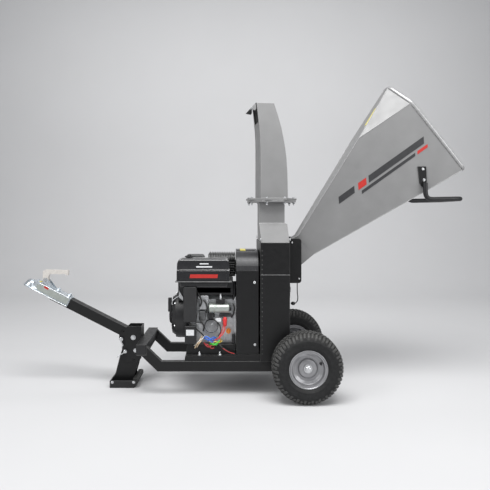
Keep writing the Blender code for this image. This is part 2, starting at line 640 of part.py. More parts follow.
def belt_drive():
    crank = body("crankshaft", (-0.45, *CRANK))
    shaft = join(rod("X", CRANK, 0.0125, -0.620, -0.250, 16),
                 rod("X", CRANK, 0.0195, -0.558, -0.333, 16),
                 rod("X", CRANK, 0.0600, -0.470, -0.440, 16))
    node("crankshaft", shaft, "steel", crank, smooth=True)
    wheel_profile = [(0.0128, 0), (0.090, 0), (0.090, 0.034), (0.0128, 0.034)]
    node("flywheel", turned(wheel_profile, "X", CRANK, 24, -0.612), "cast_iron", crank,
         smooth=True)
    node("drive_pulley", pulley(CRANK, PULLEY_SMALL, 0.0128), "cast_iron", crank, smooth=True)
    outside = belt_loop(BELT_HALF)
    inside = belt_loop(-BELT_HALF)
    belts = shell([[(x, *p) for p in outside] for x in BELT_X],
                  [[(x, *p) for p in inside] for x in BELT_X])
    node("drive_belts", belts, "rubber")

    rotor = body("rotor", (-0.124, *ROTOR))
    node("rotor_shaft", rod("X", ROTOR, 0.0150, -0.306, -0.046, 16), "steel", rotor, smooth=True)
    node("driven_pulley", pulley(ROTOR, PULLEY_LARGE, 0.0153), "cast_iron", rotor, smooth=True)
    disc = turned([(0.0153, -0.130), (DISC_R, -0.130), (DISC_R, -0.118), (0.0153, -0.118)],
                  "X", ROTOR, 32)
    paddles = []
    for i in range(4):
        paddle = block((-0.170, -0.129), (0.095, 0.178), (-0.003, 0.003))
        paddle.data.transform(Matrix.Translation((0, *ROTOR)) @ Matrix.Rotation(i * pi / 2, 4, "X"))
        paddles.append(paddle)
    node("cutting_disc", join(disc, *paddles), "steel", rotor)
    for i in range(2):
        knife = block((-0.1177, -0.1100), (0.070, 0.172), (-0.024, 0.024))
        knife.data.transform(Matrix.Translation((0, *ROTOR)) @ Matrix.Rotation(pi / 4 + i * pi, 4, "X"))
        node("knife_" + "ab"[i], knife, "steel", rotor)
    for name, x in (("front", (-0.2350, HOUSE_X[0] - GAP)), ("rear", (HOUSE_X[1] + GAP, -0.0520))):
        carrier = cut(prism(rounded((-0.045, 0.045), (ROTOR[1] - 0.042, ROTOR[1] + 0.042), 0.020,
                                    (0, 1, 2, 3), 3), "X", *x),
                      rod("X", ROTOR, 0.0153, -0.4, 0.0, 16))
        node("bearing_" + name, carrier, "cast_iron")


def belt_guard():
    low, split, top = GUARD_Z
    side = RAIL_OUT
    t = 0.002
    edge = 0.087
    crank_hole = rod("X", CRANK, 0.024, -0.4, -0.3, 16)
    guard = cut(block(GUARD_X, (-side, side), (low, split)),
                block((GUARD_X[0] + t, 0.0), (-side + t, side - t), (low + t, split + 0.1)),
                crank_hole)
    node("belt_guard", guard, "black_paint")
    outer = rounded((-side, side), (split + GAP, top), edge - GAP, (2, 3), 6)
    inner = rounded((-side + t, side - t), (split - 0.1, top - t), edge - t, (2, 3), 6)
    roof = cut(prism(outer, "X", GUARD_X[0] - 0.001, GUARD_X[1]),
               prism(inner, "X", GUARD_X[0] + t, 0.0))
    node("guard_roof", roof, "black_paint", smooth=True)


# ---------------------------------------------------------------- disc housing and inlet
def disc_housing():
    t = SHEET
    x_in = (HOUSE_X[0] + t, HOUSE_X[1] - t)
    shaft_hole = rod("X", ROTOR, 0.0200, -0.3, 0.0, 16)
    lower = cut(block(HOUSE_X, (-HOUSE_Y, HOUSE_Y), (HOUSE_LOW, HOUSE_SEAM - GAP)),
                block(x_in, (-HOUSE_Y + t, HOUSE_Y - t), (HOUSE_LOW + t, 1.0)), shaft_hole)
    node("housing_lower", lower, "black_paint")
    upper = cut(block(HOUSE_X, (-HOUSE_Y, HOUSE_Y), (HOUSE_SEAM, HOUSE_TOP)),
                block(x_in, (-HOUSE_Y + t, HOUSE_Y - t), (0.3, HOUSE_TOP - t)),
                block((-0.202, -0.080), (-0.178, 0.178), (0.7, 0.8)),
                block((-0.1, 0.0), (-0.052, 0.052), (0.594, 0.722)))
    node("housing_upper", upper, "black_paint")
    node("anvil", block((-0.1065, HOUSE_X[1] - t - GAP), (-0.060, 0.060), (0.5600, 0.5820)),
         "steel")


def inlet_box():
    cheek = rounded(INLET_X, INLET_Z, 0.014, (1, 2))
    cheeks = [prism(cheek, "Y", low, low + 0.006) for low in (INLET_Y - 0.006, -INLET_Y)]
    back = cut(block((INLET_X[0], INLET_X[0] + 0.004), (-0.118, 0.118), (0.535, 0.752)),
               block((-0.1, 0.0), (-0.052, 0.052), (0.594, 0.722)))
    floor = block((INLET_X[0], -0.020), (-0.118, 0.118), (INLET_Z[0], INLET_Z[0] + 0.004))
    node("inlet_box", join(back, floor, *cheeks), "black_paint")
    x, y = LATCH
    group = body("latch_lever", (x, y, 0.500))
    wire = [(x, y, INLET_Z[0] - GAP), (x, y, 0.470), (x + 0.002, y, 0.448), (x - 0.002, y, 0.432),
            (x - 0.010, y, 0.424), (x - 0.016, y, 0.422)]
    knob = rod("X", (y, 0.4215), 0.0078, x - 0.030, x - 0.010, 10)
    node("latch_lever", join(sweep(wire, 0.0030, 8), knob), "black_plastic", group, smooth=True)


# ---------------------------------------------------------------- hopper
THROAT = [((-0.0658, 0.728), (-0.0658, 0.590), 0.0560), ((-0.0350, 0.757), (0.0070, 0.623), 0.0600),
          ((-0.0150, 0.767), (0.0685, 0.676), 0.0700)]
APEX = ((0.285, 1.257), (0.538, 0.947), 0.105)
MOUTH_TOP = (0.445, 1.518, 0.045)
MOUTH_SIDE = (0.532, 1.423, 0.125)
MOUTH_LOW = (0.792, 1.093, 0.125)


def hopper_rings(inset):
    """Six-sided sections: top edge, facet edge and bottom edge on each side."""
    sections = []
    for top, low, half in THROAT + [APEX]:
        sections.append(((*top, half), (*top, half), (*low, half)))
    sections.append((MOUTH_TOP, MOUTH_SIDE, MOUTH_LOW))
    rings = []
    for top, side, low in sections:
        up = Vector((top[0] - low[0], top[1] - low[1])).normalized() * inset
        same = top == side
        y_top = top[2] - (inset if same else inset * 0.45)
        ring = [(top[0] - up.x, y_top, top[1] - up.y),
                (side[0] - up.x * (1 if same else 0.45), side[2] - inset,
                 side[1] - up.y * (1 if same else 0.45)),
                (low[0] + up.x, low[2] - inset, low[1] + up.y)]
        rings.append([(x, -y, z) for x, y, z in ring] + ring[::-1])
    return rings


def hopper():
    outer = hopper_rings(0.0)
    inner = hopper_rings(HOPPER_T)
    node("hopper", shell(outer, inner), "grey_paint")
    middle = hopper_rings(HOPPER_T / 2)[-1]
    path = [Vector(p) + MOUTH_DIR * (RIM_R + GAP) for p in middle]
    node("hopper_rim", sweep(path, RIM_R, 10, loop=True), "grey_paint", smooth=True)


def side_panel_y(x, z):
    """Half width of the hopper on its flat side panels."""
    reach = MOUTH_DIR.x * x + MOUTH_DIR.z * z
    low = MOUTH_DIR.x * THROAT[2][1][0] + MOUTH_DIR.z * THROAT[2][1][1]
    high = MOUTH_DIR.x * MOUTH_LOW[0] + MOUTH_DIR.z * MOUTH_LOW[1]
    return THROAT[2][2] + (MOUTH_LOW[2] - THROAT[2][2]) * (reach - low) / (high - low)


def hopper_handle():
    y = 0.1330
    bar = [(0.604, y, 1.030), (0.607, y, 1.000), (0.616, y, 0.978), (0.634, y, 0.960),
           (0.664, y, 0.9495), (0.764, y, 0.9520), (0.786, y - 0.006, 0.9525),
           (0.793, y - 0.024, 0.9527)]
    path = bar + [(x, -q, z) for x, q, z in reversed(bar)]
    loop = sweep(path, HANDLE_R, 8)
    strips = []
    for side in (-1, 1):
        face = [(0.572, 1.113), (0.613, 1.113), (0.618, 1.010), (0.596, 1.010), (0.582, 1.030)]
        near = [(x, side * (side_panel_y(x, z) + 0.0008), z) for x, z in face]
        far = [(x, side * (side_panel_y(x, z) + 0.0068), z) for x, z in face]
        strips.append(skin([near, far]))
        foot = block((0.596, 0.612), sorted((side * 0.118, side * y)), (1.012, 1.036))
        strips.append(foot)
    node("hopper_handle", join(loop, *strips), "black_paint", smooth=True)


# ---------------------------------------------------------------- discharge chute
def rectangle_ring(x, half, z):
    return [(x[0], -half, z), (x[1], -half, z), (x[1], half, z), (x[0], half, z)]


def chute_base():
    t = 0.003
    stations = [((-0.207, -0.072), 0.190, HOUSE_TOP + GAP), ((-0.213, -0.071), 0.085, 0.826),
                ((-0.213, -0.084), 0.080, 0.832), ((-0.213, -0.084), 0.080, FLANGE_Z[0] + t)]
    outer = [rectangle_ring(x, half, z) for x, half, z in stations]
    inner = [rectangle_ring((x[0] + t, x[1] - t), half - t, z) for x, half, z in stations]
    inner[0] = [(x, y * 1.02, z - 0.010) for x, y, z in inner[0]]
    inner[-1] = [(x, y, z + 0.030) for x, y, z in inner[-1]]
    plate = prism(circle((CHUTE_X, 0), FLANGE_OCT, 8, pi / 8), "Z", FLANGE_Z[0], FLANGE_Z[1])
    node("chute_base", cut(join(skin(outer), plate), skin(inner)), "grey_paint")


SPOUT = [(0.9520, -0.0686, 0.0715, 0.0750), (1.030, -0.0686, 0.0705, 0.0750),
         (1.100, -0.0686, 0.0683, 0.0745), (1.160, -0.0686, 0.0645, 0.0735),
         (1.210, -0.0690, 0.0587, 0.0720), (1.265, -0.0705, 0.0495, 0.0700),
         (1.320, -0.0741, 0.0385, 0.0675), (1.380, -0.0805, 0.0220, 0.0645),
         (SPOUT_TOP, -0.0880, 0.0029, 0.0615)]


def spout():
    group = body("spout", (CHUTE_X, 0, 0), CHUTE_TURN)
    plate = prism(circle((0, 0), FLANGE_OCT, 8, pi / 8), "Z", FLANGE_Z[2], FLANGE_Z[3])
    t = 0.003
    outer = skin([rectangle_ring((a, b), half, z) for z, a, b, half in SPOUT])
    rings = [rectangle_ring((a + t, b - t), half - t, z) for z, a, b, half in SPOUT]
    rings[0] = [(x, y, 0.9) for x, y, z in rings[0]]
    rings[-1] = [(x, y, SPOUT_TOP - t) for x, y, z in rings[-1]]
    duct = cut(join(outer, plate), skin(rings),
               block((-0.2, -0.04), (-0.052, 0.052), (1.345, 1.428)))
    node("chute_spout", duct, "grey_paint", group, local=True)

    hinge = body("flap", (FLAP_HINGE[0], 0, FLAP_HINGE[1]), 0.0, group)
    x, z = FLAP_HINGE
    end = (x - 0.032, z - 0.033)
    plate = prism([(x, z + 0.0012), (x - 0.0012, z), (end[0] - 0.001, end[1] + 0.001), end,
                   (x + 0.0005, z - 0.0005)], "Y", -0.060, 0.060)
    cheek = [(x + 0.0003, z - 0.004), (x - 0.002, z + 0.0002), end, (x - 0.006, z - 0.037),
             (x + 0.0003, z - 0.030)]
    cheeks = [prism(cheek, "Y", low, low + 0.003) for low in (0.058, -0.061)]
    node("chute_flap", join(plate, *cheeks), "grey_paint", hinge)


# ---------------------------------------------------------------- the machine
mirrored(wheel)
axle()
mirrored(rail)
front_cross_tube()
hinge_bracket()
pull_pin("drawbar_pin", DRAW_PIN, 0.0065)
pull_pin("stand_pin", STAND_PIN, 0.0060)
stand()
drawbar()
engine_bed()
crankcase()
cylinder_and_head()
blower_shroud()
fuel_tank()
engine_fittings()
belt_drive()
belt_guard()
disc_housing()
inlet_box()
hopper()
hopper_handle()
chute_base()
spout()
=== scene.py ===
"""Looks of a towed wood chipper: camera, studio, finishes and the fine surface of each piece.

Lengths are in metres. Pieces are modelled from the middle of the wheel axle's line on the
ground, and set down where the frame's own axle is, AXLE_X along the row.
"""

import json
from math import cos, pi, radians, sin, sqrt

import bmesh
import bpy
from mathutils import Matrix, Vector

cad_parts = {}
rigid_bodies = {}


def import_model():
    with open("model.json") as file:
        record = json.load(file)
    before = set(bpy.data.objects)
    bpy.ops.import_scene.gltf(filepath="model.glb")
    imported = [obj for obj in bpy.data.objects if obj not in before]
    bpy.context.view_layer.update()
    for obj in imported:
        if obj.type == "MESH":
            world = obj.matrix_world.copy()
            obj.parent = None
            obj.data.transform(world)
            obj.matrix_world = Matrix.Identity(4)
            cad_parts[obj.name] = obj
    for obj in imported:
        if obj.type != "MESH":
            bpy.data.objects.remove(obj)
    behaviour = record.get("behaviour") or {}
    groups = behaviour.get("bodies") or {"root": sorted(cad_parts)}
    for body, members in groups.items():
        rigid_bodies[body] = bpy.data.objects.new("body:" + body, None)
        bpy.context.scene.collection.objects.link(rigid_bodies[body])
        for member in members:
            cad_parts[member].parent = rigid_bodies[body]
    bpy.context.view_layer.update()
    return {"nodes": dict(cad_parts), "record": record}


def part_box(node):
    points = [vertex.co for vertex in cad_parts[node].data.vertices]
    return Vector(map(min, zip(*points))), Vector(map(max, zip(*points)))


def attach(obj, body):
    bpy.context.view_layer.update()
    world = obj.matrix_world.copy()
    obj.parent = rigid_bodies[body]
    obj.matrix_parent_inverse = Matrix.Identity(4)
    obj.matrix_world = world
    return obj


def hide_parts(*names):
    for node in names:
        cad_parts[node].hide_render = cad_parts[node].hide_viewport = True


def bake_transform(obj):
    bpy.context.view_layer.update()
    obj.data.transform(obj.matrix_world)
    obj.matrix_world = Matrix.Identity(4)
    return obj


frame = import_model()
SIDES = (("left", -1), ("right", 1))     # name and sign along Y; left is the tank side

RECORD = frame["record"]
SLOT_OF = {part["node"]: part["material_slot"] for part in RECORD["subparts"]}
BODY_OF = {node: body for body, nodes in RECORD["behaviour"]["bodies"].items() for node in nodes}


def middle(node):
    low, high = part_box(node)
    return (low + high) / 2


AXLE_X = middle("axle").x
AXLE_Z = middle("axle").z

# ---------------------------------------------------------------- camera
CAMERA_PLACE = (AXLE_X - 0.3495, -2.63, 0.872)
CAMERA_LENS = 37.18
CAMERA_SHIFT = (0.0265, -0.0612)


def camera():
    data = bpy.data.cameras.new("camera")
    data.lens = CAMERA_LENS
    data.sensor_width = 36.0
    data.shift_x, data.shift_y = CAMERA_SHIFT
    data.clip_end = 60.0
    view = bpy.data.objects.new("camera", data)
    view.location = CAMERA_PLACE
    view.rotation_euler = (radians(90), 0, 0)
    bpy.context.scene.collection.objects.link(view)
    bpy.context.scene.camera = view


camera()


# ---------------------------------------------------------------- finishes
def add_node(material, kind, **inputs):
    node = material.node_tree.nodes.new(kind)
    for name, value in inputs.items():
        node.inputs[name.replace("_", " ")].default_value = value
    return node


def noise(material, size, detail=3.0, stretch=(1, 1, 1)):
    """Noise with features of about size metres, fixed to the piece."""
    place = add_node(material, "ShaderNodeTexCoord")
    mapping = add_node(material, "ShaderNodeMapping")
    mapping.inputs["Scale"].default_value = stretch
    pattern = add_node(material, "ShaderNodeTexNoise", Scale=1.0 / size, Detail=detail)
    links = material.node_tree.links
    links.new(place.outputs["Object"], mapping.inputs["Vector"])
    links.new(mapping.outputs["Vector"], pattern.inputs["Vector"])
    return pattern.outputs["Fac"]


def remap(material, value, low, high, start=0.3, end=0.7):
    node = add_node(material, "ShaderNodeMapRange")
    node.inputs["From Min"].default_value = start
    node.inputs["From Max"].default_value = end
    node.inputs["To Min"].default_value = low
    node.inputs["To Max"].default_value = high
    material.node_tree.links.new(value, node.inputs["Value"])
    return node.outputs["Result"]


def blend_colour(material, amount, first, second):
    node = material.node_tree.nodes.new("ShaderNodeMix")
    node.data_type = "RGBA"
    colours = [socket for socket in node.inputs if socket.type == "RGBA"]
    for socket, value in zip(colours, (first, second)):
        if isinstance(value, tuple):
            socket.default_value = (*value, 1.0)
        else:
            material.node_tree.links.new(value, socket)
    material.node_tree.links.new(amount, node.inputs["Factor"])
    return [socket for socket in node.outputs if socket.type == "RGBA"][0]


def finish(name, colour, roughness, metallic=0.0, mottle=0.12, patch=0.05, spread=0.08,
           grain=0.0015, height=0.00006, stretch=(1, 1, 1), coat=0.0, dust=0.0, specular=0.5):
    """A patchy colour and gloss over a fine bumped grain; dust settles on faces that look up."""
    material = bpy.data.materials.new(name)
    material.use_nodes = True
    shader = material.node_tree.nodes["Principled BSDF"]
    links = material.node_tree.links
    shader.inputs["Metallic"].default_value = metallic
    shader.inputs["Coat Weight"].default_value = coat
    shader.inputs["Coat Roughness"].default_value = 0.08
    shader.inputs["Specular IOR Level"].default_value = specular
    patches = noise(material, patch, 4.0, stretch)
    dark = tuple(c * (1 - mottle) for c in colour)
    light = tuple(min(1.0, c * (1 + mottle)) for c in colour)
    shade = blend_colour(material, remap(material, patches, 0.0, 1.0), dark, light)
    if dust:
        facing = add_node(material, "ShaderNodeSeparateXYZ")
        geometry = add_node(material, "ShaderNodeNewGeometry")
        links.new(geometry.outputs["Normal"], facing.inputs["Vector"])
        film = add_node(material, "ShaderNodeMath")
        film.operation = "MULTIPLY"
        links.new(remap(material, facing.outputs["Z"], 0.0, dust, 0.2, 1.0), film.inputs[0])
        links.new(remap(material, noise(material, 0.02, 5.0), 0.4, 1.0), film.inputs[1])
        shade = blend_colour(material, film.outputs["Value"], shade, (0.3, 0.29, 0.27))
    links.new(shade, shader.inputs["Base Color"])
    gloss = remap(material, noise(material, patch * 0.4, 3.0, stretch),
                  max(0.02, roughness - spread), min(1.0, roughness + spread))
    links.new(gloss, shader.inputs["Roughness"])
    bump = add_node(material, "ShaderNodeBump", Strength=1.0, Distance=height)
    links.new(noise(material, grain, 2.0, stretch), bump.inputs["Height"])
    links.new(bump.outputs["Normal"], shader.inputs["Normal"])
    return material


BLACK_PAINT = finish("black_powder_coat", (0.0048, 0.0048, 0.0051), 0.42, mottle=0.1,
                     grain=0.0012, height=0.0001, dust=0.03, specular=0.36)
# A lighter black for bevelled edges, beads, pressed ribs and the stay plate under the tank: a
# painted highlight where edges catch the light.
BLACK_EDGE_HIGHLIGHT = finish("black_powder_coat_painted_highlight", (0.034, 0.034, 0.034), 0.38, mottle=0.3,
                    patch=0.012, grain=0.0012, height=0.00005)
GREY_PAINT = finish("grey_powder_coat", (0.205, 0.205, 0.205), 0.44, metallic=0.12, mottle=0.05,
                    patch=0.09, grain=0.001, height=0.00005, spread=0.06)
# A lighter grey for bevelled edges and seam beads on the hopper and chute: a painted highlight
# along the edges.
GREY_EDGE_HIGHLIGHT = finish("grey_powder_coat_painted_highlight", (0.3, 0.3, 0.3), 0.36, metallic=0.25, mottle=0.1,
                   patch=0.02)
TYRE_RUBBER = finish("tyre_rubber", (0.011, 0.0112, 0.0116), 0.72, mottle=0.25, patch=0.02,
                     grain=0.002, height=0.00015, dust=0.1, specular=0.35)
# The tyre's rubber made lighter for the tread blocks: a painted highlight on the tread.
TREAD_HIGHLIGHT_RUBBER = finish("tread_rubber_painted_highlight", (0.046, 0.046, 0.045), 0.62, mottle=0.35, patch=0.012,
                      grain=0.0025, height=0.00025, dust=0.12, specular=0.4)
RIM_SILVER = finish("rim_silver", (0.3, 0.3, 0.31), 0.36, metallic=0.7, mottle=0.05,
                    patch=0.03, grain=0.0015, height=0.00004)
ZINC = finish("zinc_plating", (0.66, 0.71, 0.75), 0.27, metallic=0.92, mottle=0.14, patch=0.015,
              grain=0.002, height=0.00005)
ZINC_DULL = finish("zinc_side", (0.42, 0.45, 0.42), 0.42, metallic=0.75, mottle=0.12, patch=0.02,
                   grain=0.002, height=0.00005)
BRIGHT_BOLT = finish("bright_bolt", (0.6, 0.61, 0.62), 0.27, metallic=0.9, mottle=0.1,
                     patch=0.004, grain=0.0012, height=0.00003)
STEEL = finish("bare_steel", (0.5, 0.5, 0.51), 0.34, metallic=1.0, mottle=0.12, patch=0.03,
               grain=0.0008, height=0.00004, stretch=(1, 1, 8))
ALUMINIUM = finish("cast_aluminium", (0.56, 0.57, 0.58), 0.46, metallic=0.8, mottle=0.16,
                   patch=0.012, grain=0.0016, height=0.00022)
LEVER_CAST = finish("lever_casting", (0.62, 0.59, 0.55), 0.4, metallic=0.35, mottle=0.08,
                    patch=0.01, grain=0.0018, height=0.00015)
BLACK_PLASTIC = finish("black_plastic", (0.008, 0.008, 0.009), 0.42, mottle=0.12,
                       grain=0.0009, height=0.00007, dust=0.03)
BOX_PLASTIC = finish("control_box_plastic", (0.0145, 0.0145, 0.0152), 0.48, mottle=0.14,
                     grain=0.0011, height=0.00008)
GLOSS_BLACK = finish("gloss_black_enamel", (0.009, 0.009, 0.0105), 0.22, mottle=0.1,
                     patch=0.04, spread=0.05, grain=0.006, height=0.00003, coat=0.6)
CAST_IRON = finish("cast_iron", (0.085, 0.085, 0.088), 0.55, metallic=0.65, mottle=0.25,
                   patch=0.008, grain=0.0014, height=0.0002)
ORANGE = finish("orange_plastic", (0.8, 0.25, 0.03), 0.36, mottle=0.06, patch=0.006,
                grain=0.001, height=0.00004)
BELT_RUBBER = finish("belt_rubber", (0.018, 0.018, 0.018), 0.7, mottle=0.2, patch=0.006)
HEAT_STEEL = finish("muffler_steel", (0.3, 0.27, 0.24), 0.45, metallic=0.9, mottle=0.25,
                    patch=0.03, grain=0.002, height=0.00008)
FOOT_RUBBER = finish("foot_rubber", (0.009, 0.009, 0.009), 0.66, mottle=0.2, patch=0.01,
                     grain=0.0022, height=0.00022, dust=0.08)
# The hopper's grey paint made lighter for the mouth bar: a painted highlight along the bar.
MOUTH_BAR_HIGHLIGHT = finish("grey_powder_coat_bar_painted_highlight", (0.36, 0.36, 0.36), 0.28, metallic=0.35, mottle=0.05,
                       patch=0.05, grain=0.0012, height=0.00003)
# Light grey for the tank's lip and crease, the housing's seam and rivets and the muffler guard's
# rib edges: a painted highlight.
GLINT = finish("painted_glint_grey", (0.13, 0.13, 0.13), 0.38, mottle=0.35, patch=0.01)
DARK_CASTING = finish("dark_casting", (0.115, 0.117, 0.12), 0.52, metallic=0.6, mottle=0.35,
                      patch=0.014, grain=0.001, height=0.00008)
LABEL_YELLOW = finish("label_yellow", (0.62, 0.54, 0.1), 0.45, mottle=0.06, patch=0.02)
LABEL_WHITE = finish("label_white", (0.62, 0.63, 0.64), 0.45, mottle=0.08, patch=0.006)
STRIPE_RED = finish("stripe_red", (0.41, 0.022, 0.017), 0.4, mottle=0.08, patch=0.02)
STRIPE_BLACK = finish("stripe_black", (0.028, 0.028, 0.03), 0.4, mottle=0.08, patch=0.02)
WIRE_COLOURS = [
    ("red", (0.62, 0.03, 0.03), 0.4),
    ("dark_red", (0.3, 0.02, 0.02), 0.4),
    ("blue", (0.04, 0.15, 0.62), 0.4),
    ("green", (0.08, 0.55, 0.07), 0.4),
    ("yellow", (0.7, 0.58, 0.08), 0.4),
    ("tan", (0.66, 0.5, 0.33), 0.45),
    ("white", (0.66, 0.66, 0.64), 0.45),
    ("black", (0.02, 0.02, 0.02), 0.5),
]
WIRE_FINISH = {name: finish("wire_" + name, colour, roughness, patch=0.01)
               for name, colour, roughness in WIRE_COLOURS}
SLOT_FINISH = {
    "black_powder_coat": BLACK_PAINT, "grey_powder_coat": GREY_PAINT, "tyre": TYRE_RUBBER,
    "rim_silver": RIM_SILVER, "zinc": ZINC, "steel": STEEL, "aluminium": ALUMINIUM,
    "black_plastic": BLACK_PLASTIC, "gloss_black": GLOSS_BLACK, "cast_iron": CAST_IRON,
    "orange_plastic": ORANGE, "belt_rubber": BELT_RUBBER,
}


# ---------------------------------------------------------------- studio
def stage_mesh(name, points, faces, material):
    mesh = bpy.data.meshes.new(name)
    mesh.from_pydata(points, [], faces)
    mesh.shade_smooth()
    mesh.materials.append(material)
    piece = bpy.data.objects.new(name, mesh)
    bpy.context.scene.collection.objects.link(piece)
    return piece


def area_light(name, place, aim, size, power, tint=(1, 1, 1)):
    data = bpy.data.lights.new(name, "AREA")
    data.shape = "RECTANGLE"
    data.size, data.size_y = size
    data.energy = power
    data.color = tint
    light = bpy.data.objects.new(name, data)
    light.location = place
    light.rotation_euler = (Vector(aim) - Vector(place)).to_track_quat("-Z", "Y").to_euler()
    bpy.context.scene.collection.objects.link(light)


def studio():
    """A pale floor that curves up into a backdrop, soft lights and a plain sky."""
    pale = finish("studio_floor", (0.6, 0.6, 0.605), 0.8, mottle=0.01, patch=0.6,
                  grain=0.004, height=0.00005, specular=0.2)
    half, near, wall, bend, steps = 9.0, -9.0, 4.5, 1.8, 12
    path = [(near, 0.0)]
    path += [(wall - bend + bend * sin(pi / 2 * i / steps), bend - bend * cos(pi / 2 * i / steps))
             for i in range(steps + 1)]
    path += [(wall, 7.0)]
    points = [(x, y, z) for y, z in path for x in (-half, half)]
    faces = [(2 * i, 2 * i + 1, 2 * i + 3, 2 * i + 2) for i in range(len(path) - 1)]
    stage_mesh("studio_floor", points, faces, pale)
    world = bpy.data.worlds.new("studio_sky")
    bpy.context.scene.world = world
    world.use_nodes = True
    sky = world.node_tree.nodes["Background"]
    sky.inputs["Color"].default_value = (0.94, 0.96, 1.0, 1.0)
    sky.inputs["Strength"].default_value = 0.33
    area_light("key_light", (0.15, -1.35, 3.3), (0.35, 0.0, 0.9), (2.8, 1.5), 120)
    area_light("left_light", (-2.8, -2.6, 2.2), (0.0, 0.0, 0.5), (2.0, 2.0), 55)
    area_light("right_light", (2.9, -2.4, 1.7), (0.1, 0.0, 0.7), (2.2, 2.2), 45)
    area_light("backdrop_light", (0.0, 1.6, 3.6), (0.0, 4.5, 1.2), (6.0, 1.2), 70)


bpy.context.scene.view_settings.view_transform = "Standard"
studio()


# ---------------------------------------------------------------- mesh helpers
def skin(bm, rings, loop=False, caps=True):
    """Join rings of points into one surface, closed at its ends or into a loop."""
    made = [[bm.verts.new(p) for p in ring] for ring in rings]
    count = len(made[0])
    pairs = list(zip(made, made[1:]))
    if loop:
        pairs.append((made[-1], made[0]))
    for first, second in pairs:
        for i in range(count):
            j = (i + 1) % count
            bm.faces.new((first[i], first[j], second[j], second[i]))
    if caps and not loop:
        bm.faces.new(made[0])
        bm.faces.new(made[-1])


def on_axis(axis, u, v, w):
    return {"X": (w, u, v), "Y": (u, w, v), "Z": (u, v, w)}[axis]


def lathe(bm, profile, axis, centre, steps=48, at=0.0, sign=1, loop=False):
    """Turn (radius, height) points round an axis; radii of 0 close the ends."""
    rings = []
    for radius, height in profile:
        radius = max(radius, 0.00002)
        rings.append([on_axis(axis, centre[0] + radius * cos(2 * pi * i / steps),
                              centre[1] + radius * sin(2 * pi * i / steps), at + sign * height)
                      for i in range(steps)])
    skin(bm, rings, loop)


def prism(bm, outline, axis, low, high):
    skin(bm, [[on_axis(axis, u, v, low) for u, v in outline],
              [on_axis(axis, u, v, high) for u, v in outline]])


def block(bm, x, y, z):
    prism(bm, [(x[0], y[0]), (x[1], y[0]), (x[1], y[1]), (x[0], y[1])], "Z", z[0], z[1])


def arc(centre, radius, start, end, steps):
    return [(centre[0] + radius * cos(radians(start + (end - start) * i / steps)),
             centre[1] + radius * sin(radians(start + (end - start) * i / steps)))
            for i in range(steps + 1)]


def settle(piece, material, body, edge=None):
    """Give a finished piece its material, place and body."""
    piece.data.materials.clear()
    piece.data.materials.append(material)
    if edge:
        piece.data.materials.append(edge)
    piece.location.x = AXLE_X
    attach(piece, body)
    return piece


def piece_from(bm, name, material, body, bevel=0.0, segments=2, edge=None, angle=35):
    bmesh.ops.recalc_face_normals(bm, faces=bm.faces)
    mesh = bpy.data.meshes.new(name)
    bm.to_mesh(mesh)
    bm.free()
    mesh.shade_smooth()
    mesh.set_sharp_from_angle(angle=radians(angle))
    piece = bpy.data.objects.new(name, mesh)
    bpy.context.scene.collection.objects.link(piece)
    if bevel:
        round_edges(piece, bevel, segments, bool(edge))
    return settle(piece, material, body, edge)


def round_edges(piece, width, segments=2, mark=False, angle=32):
    modifier = piece.modifiers.new("soft_edges", "BEVEL")
    modifier.width = width
    modifier.segments = segments
    modifier.limit_method = "ANGLE"
    modifier.angle_limit = radians(angle)
    modifier.harden_normals = True
    # The bevel faces take the piece's second material, a lighter painted highlight along its edges.
    if mark:
        modifier.material = 1


def softened(node, width, material=None, edge=None, segments=2, flat=0.5):
    """A copy of a frame node with broken edges, which stands for the node."""
    bm = bmesh.new()
    bm.from_mesh(frame["nodes"][node].data)
    bmesh.ops.remove_doubles(bm, verts=bm.verts, dist=0.00001)
    bmesh.ops.dissolve_limit(bm, angle_limit=radians(flat), verts=bm.verts, edges=bm.edges)
    mesh = bpy.data.meshes.new(node + "_finish")
    bm.to_mesh(mesh)
    bm.free()
    mesh.shade_smooth()
    mesh.set_sharp_from_angle(angle=radians(32))
    piece = bpy.data.objects.new(node + "_finish", mesh)
    bpy.context.scene.collection.objects.link(piece)
    round_edges(piece, width, segments, bool(edge))
    mesh.materials.clear()
    mesh.materials.append(material or SLOT_FINISH[SLOT_OF[node]])
    # The second material is a lighter painted highlight for the bevelled edges.
    if edge:
        mesh.materials.append(edge)
    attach(piece, BODY_OF[node])
    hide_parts(node)
    return piece


def filleted(points, radius, steps=6, loop=False):
    """A path through points with its corners rounded."""
    points = [Vector(p) for p in points]
    count = len(points)
    path = []
    for i, point in enumerate(points):
        if not loop and i in (0, count - 1):
            path.append(point)
            continue
        back = points[i - 1] - point
        ahead = points[(i + 1) % count] - point
        reach = min(radius, back.length * 0.45, ahead.length * 0.45)
        start = point + back.normalized() * reach
        end = point + ahead.normalized() * reach
        for k in range(steps + 1):
            t = k / steps
            path.append(start * (1 - t) ** 2 + point * 2 * t * (1 - t) + end * t ** 2)
    return path


def tube(name, points, radius, material, body, loop=False, sides=4):
    """A round bar or lead along a path of points."""
    data = bpy.data.curves.new(name, "CURVE")
    data.dimensions = "3D"
    data.bevel_depth = radius
    data.bevel_resolution = sides
    data.use_fill_caps = True
    spline = data.splines.new("POLY")
    spline.points.add(len(points) - 1)
    for target, point in zip(spline.points, points):
        target.co = (*point, 1.0)
    spline.use_cyclic_u = loop
    spline.use_smooth = True
    piece = bpy.data.objects.new(name, data)
    bpy.context.scene.collection.objects.link(piece)
    return settle(piece, material, body)


def bead(name, points, radius, material, body="chassis"):
    """A thin bead or pin, with fewer sides than a tube."""
    return tube(name, points, radius, material, body, sides=2)


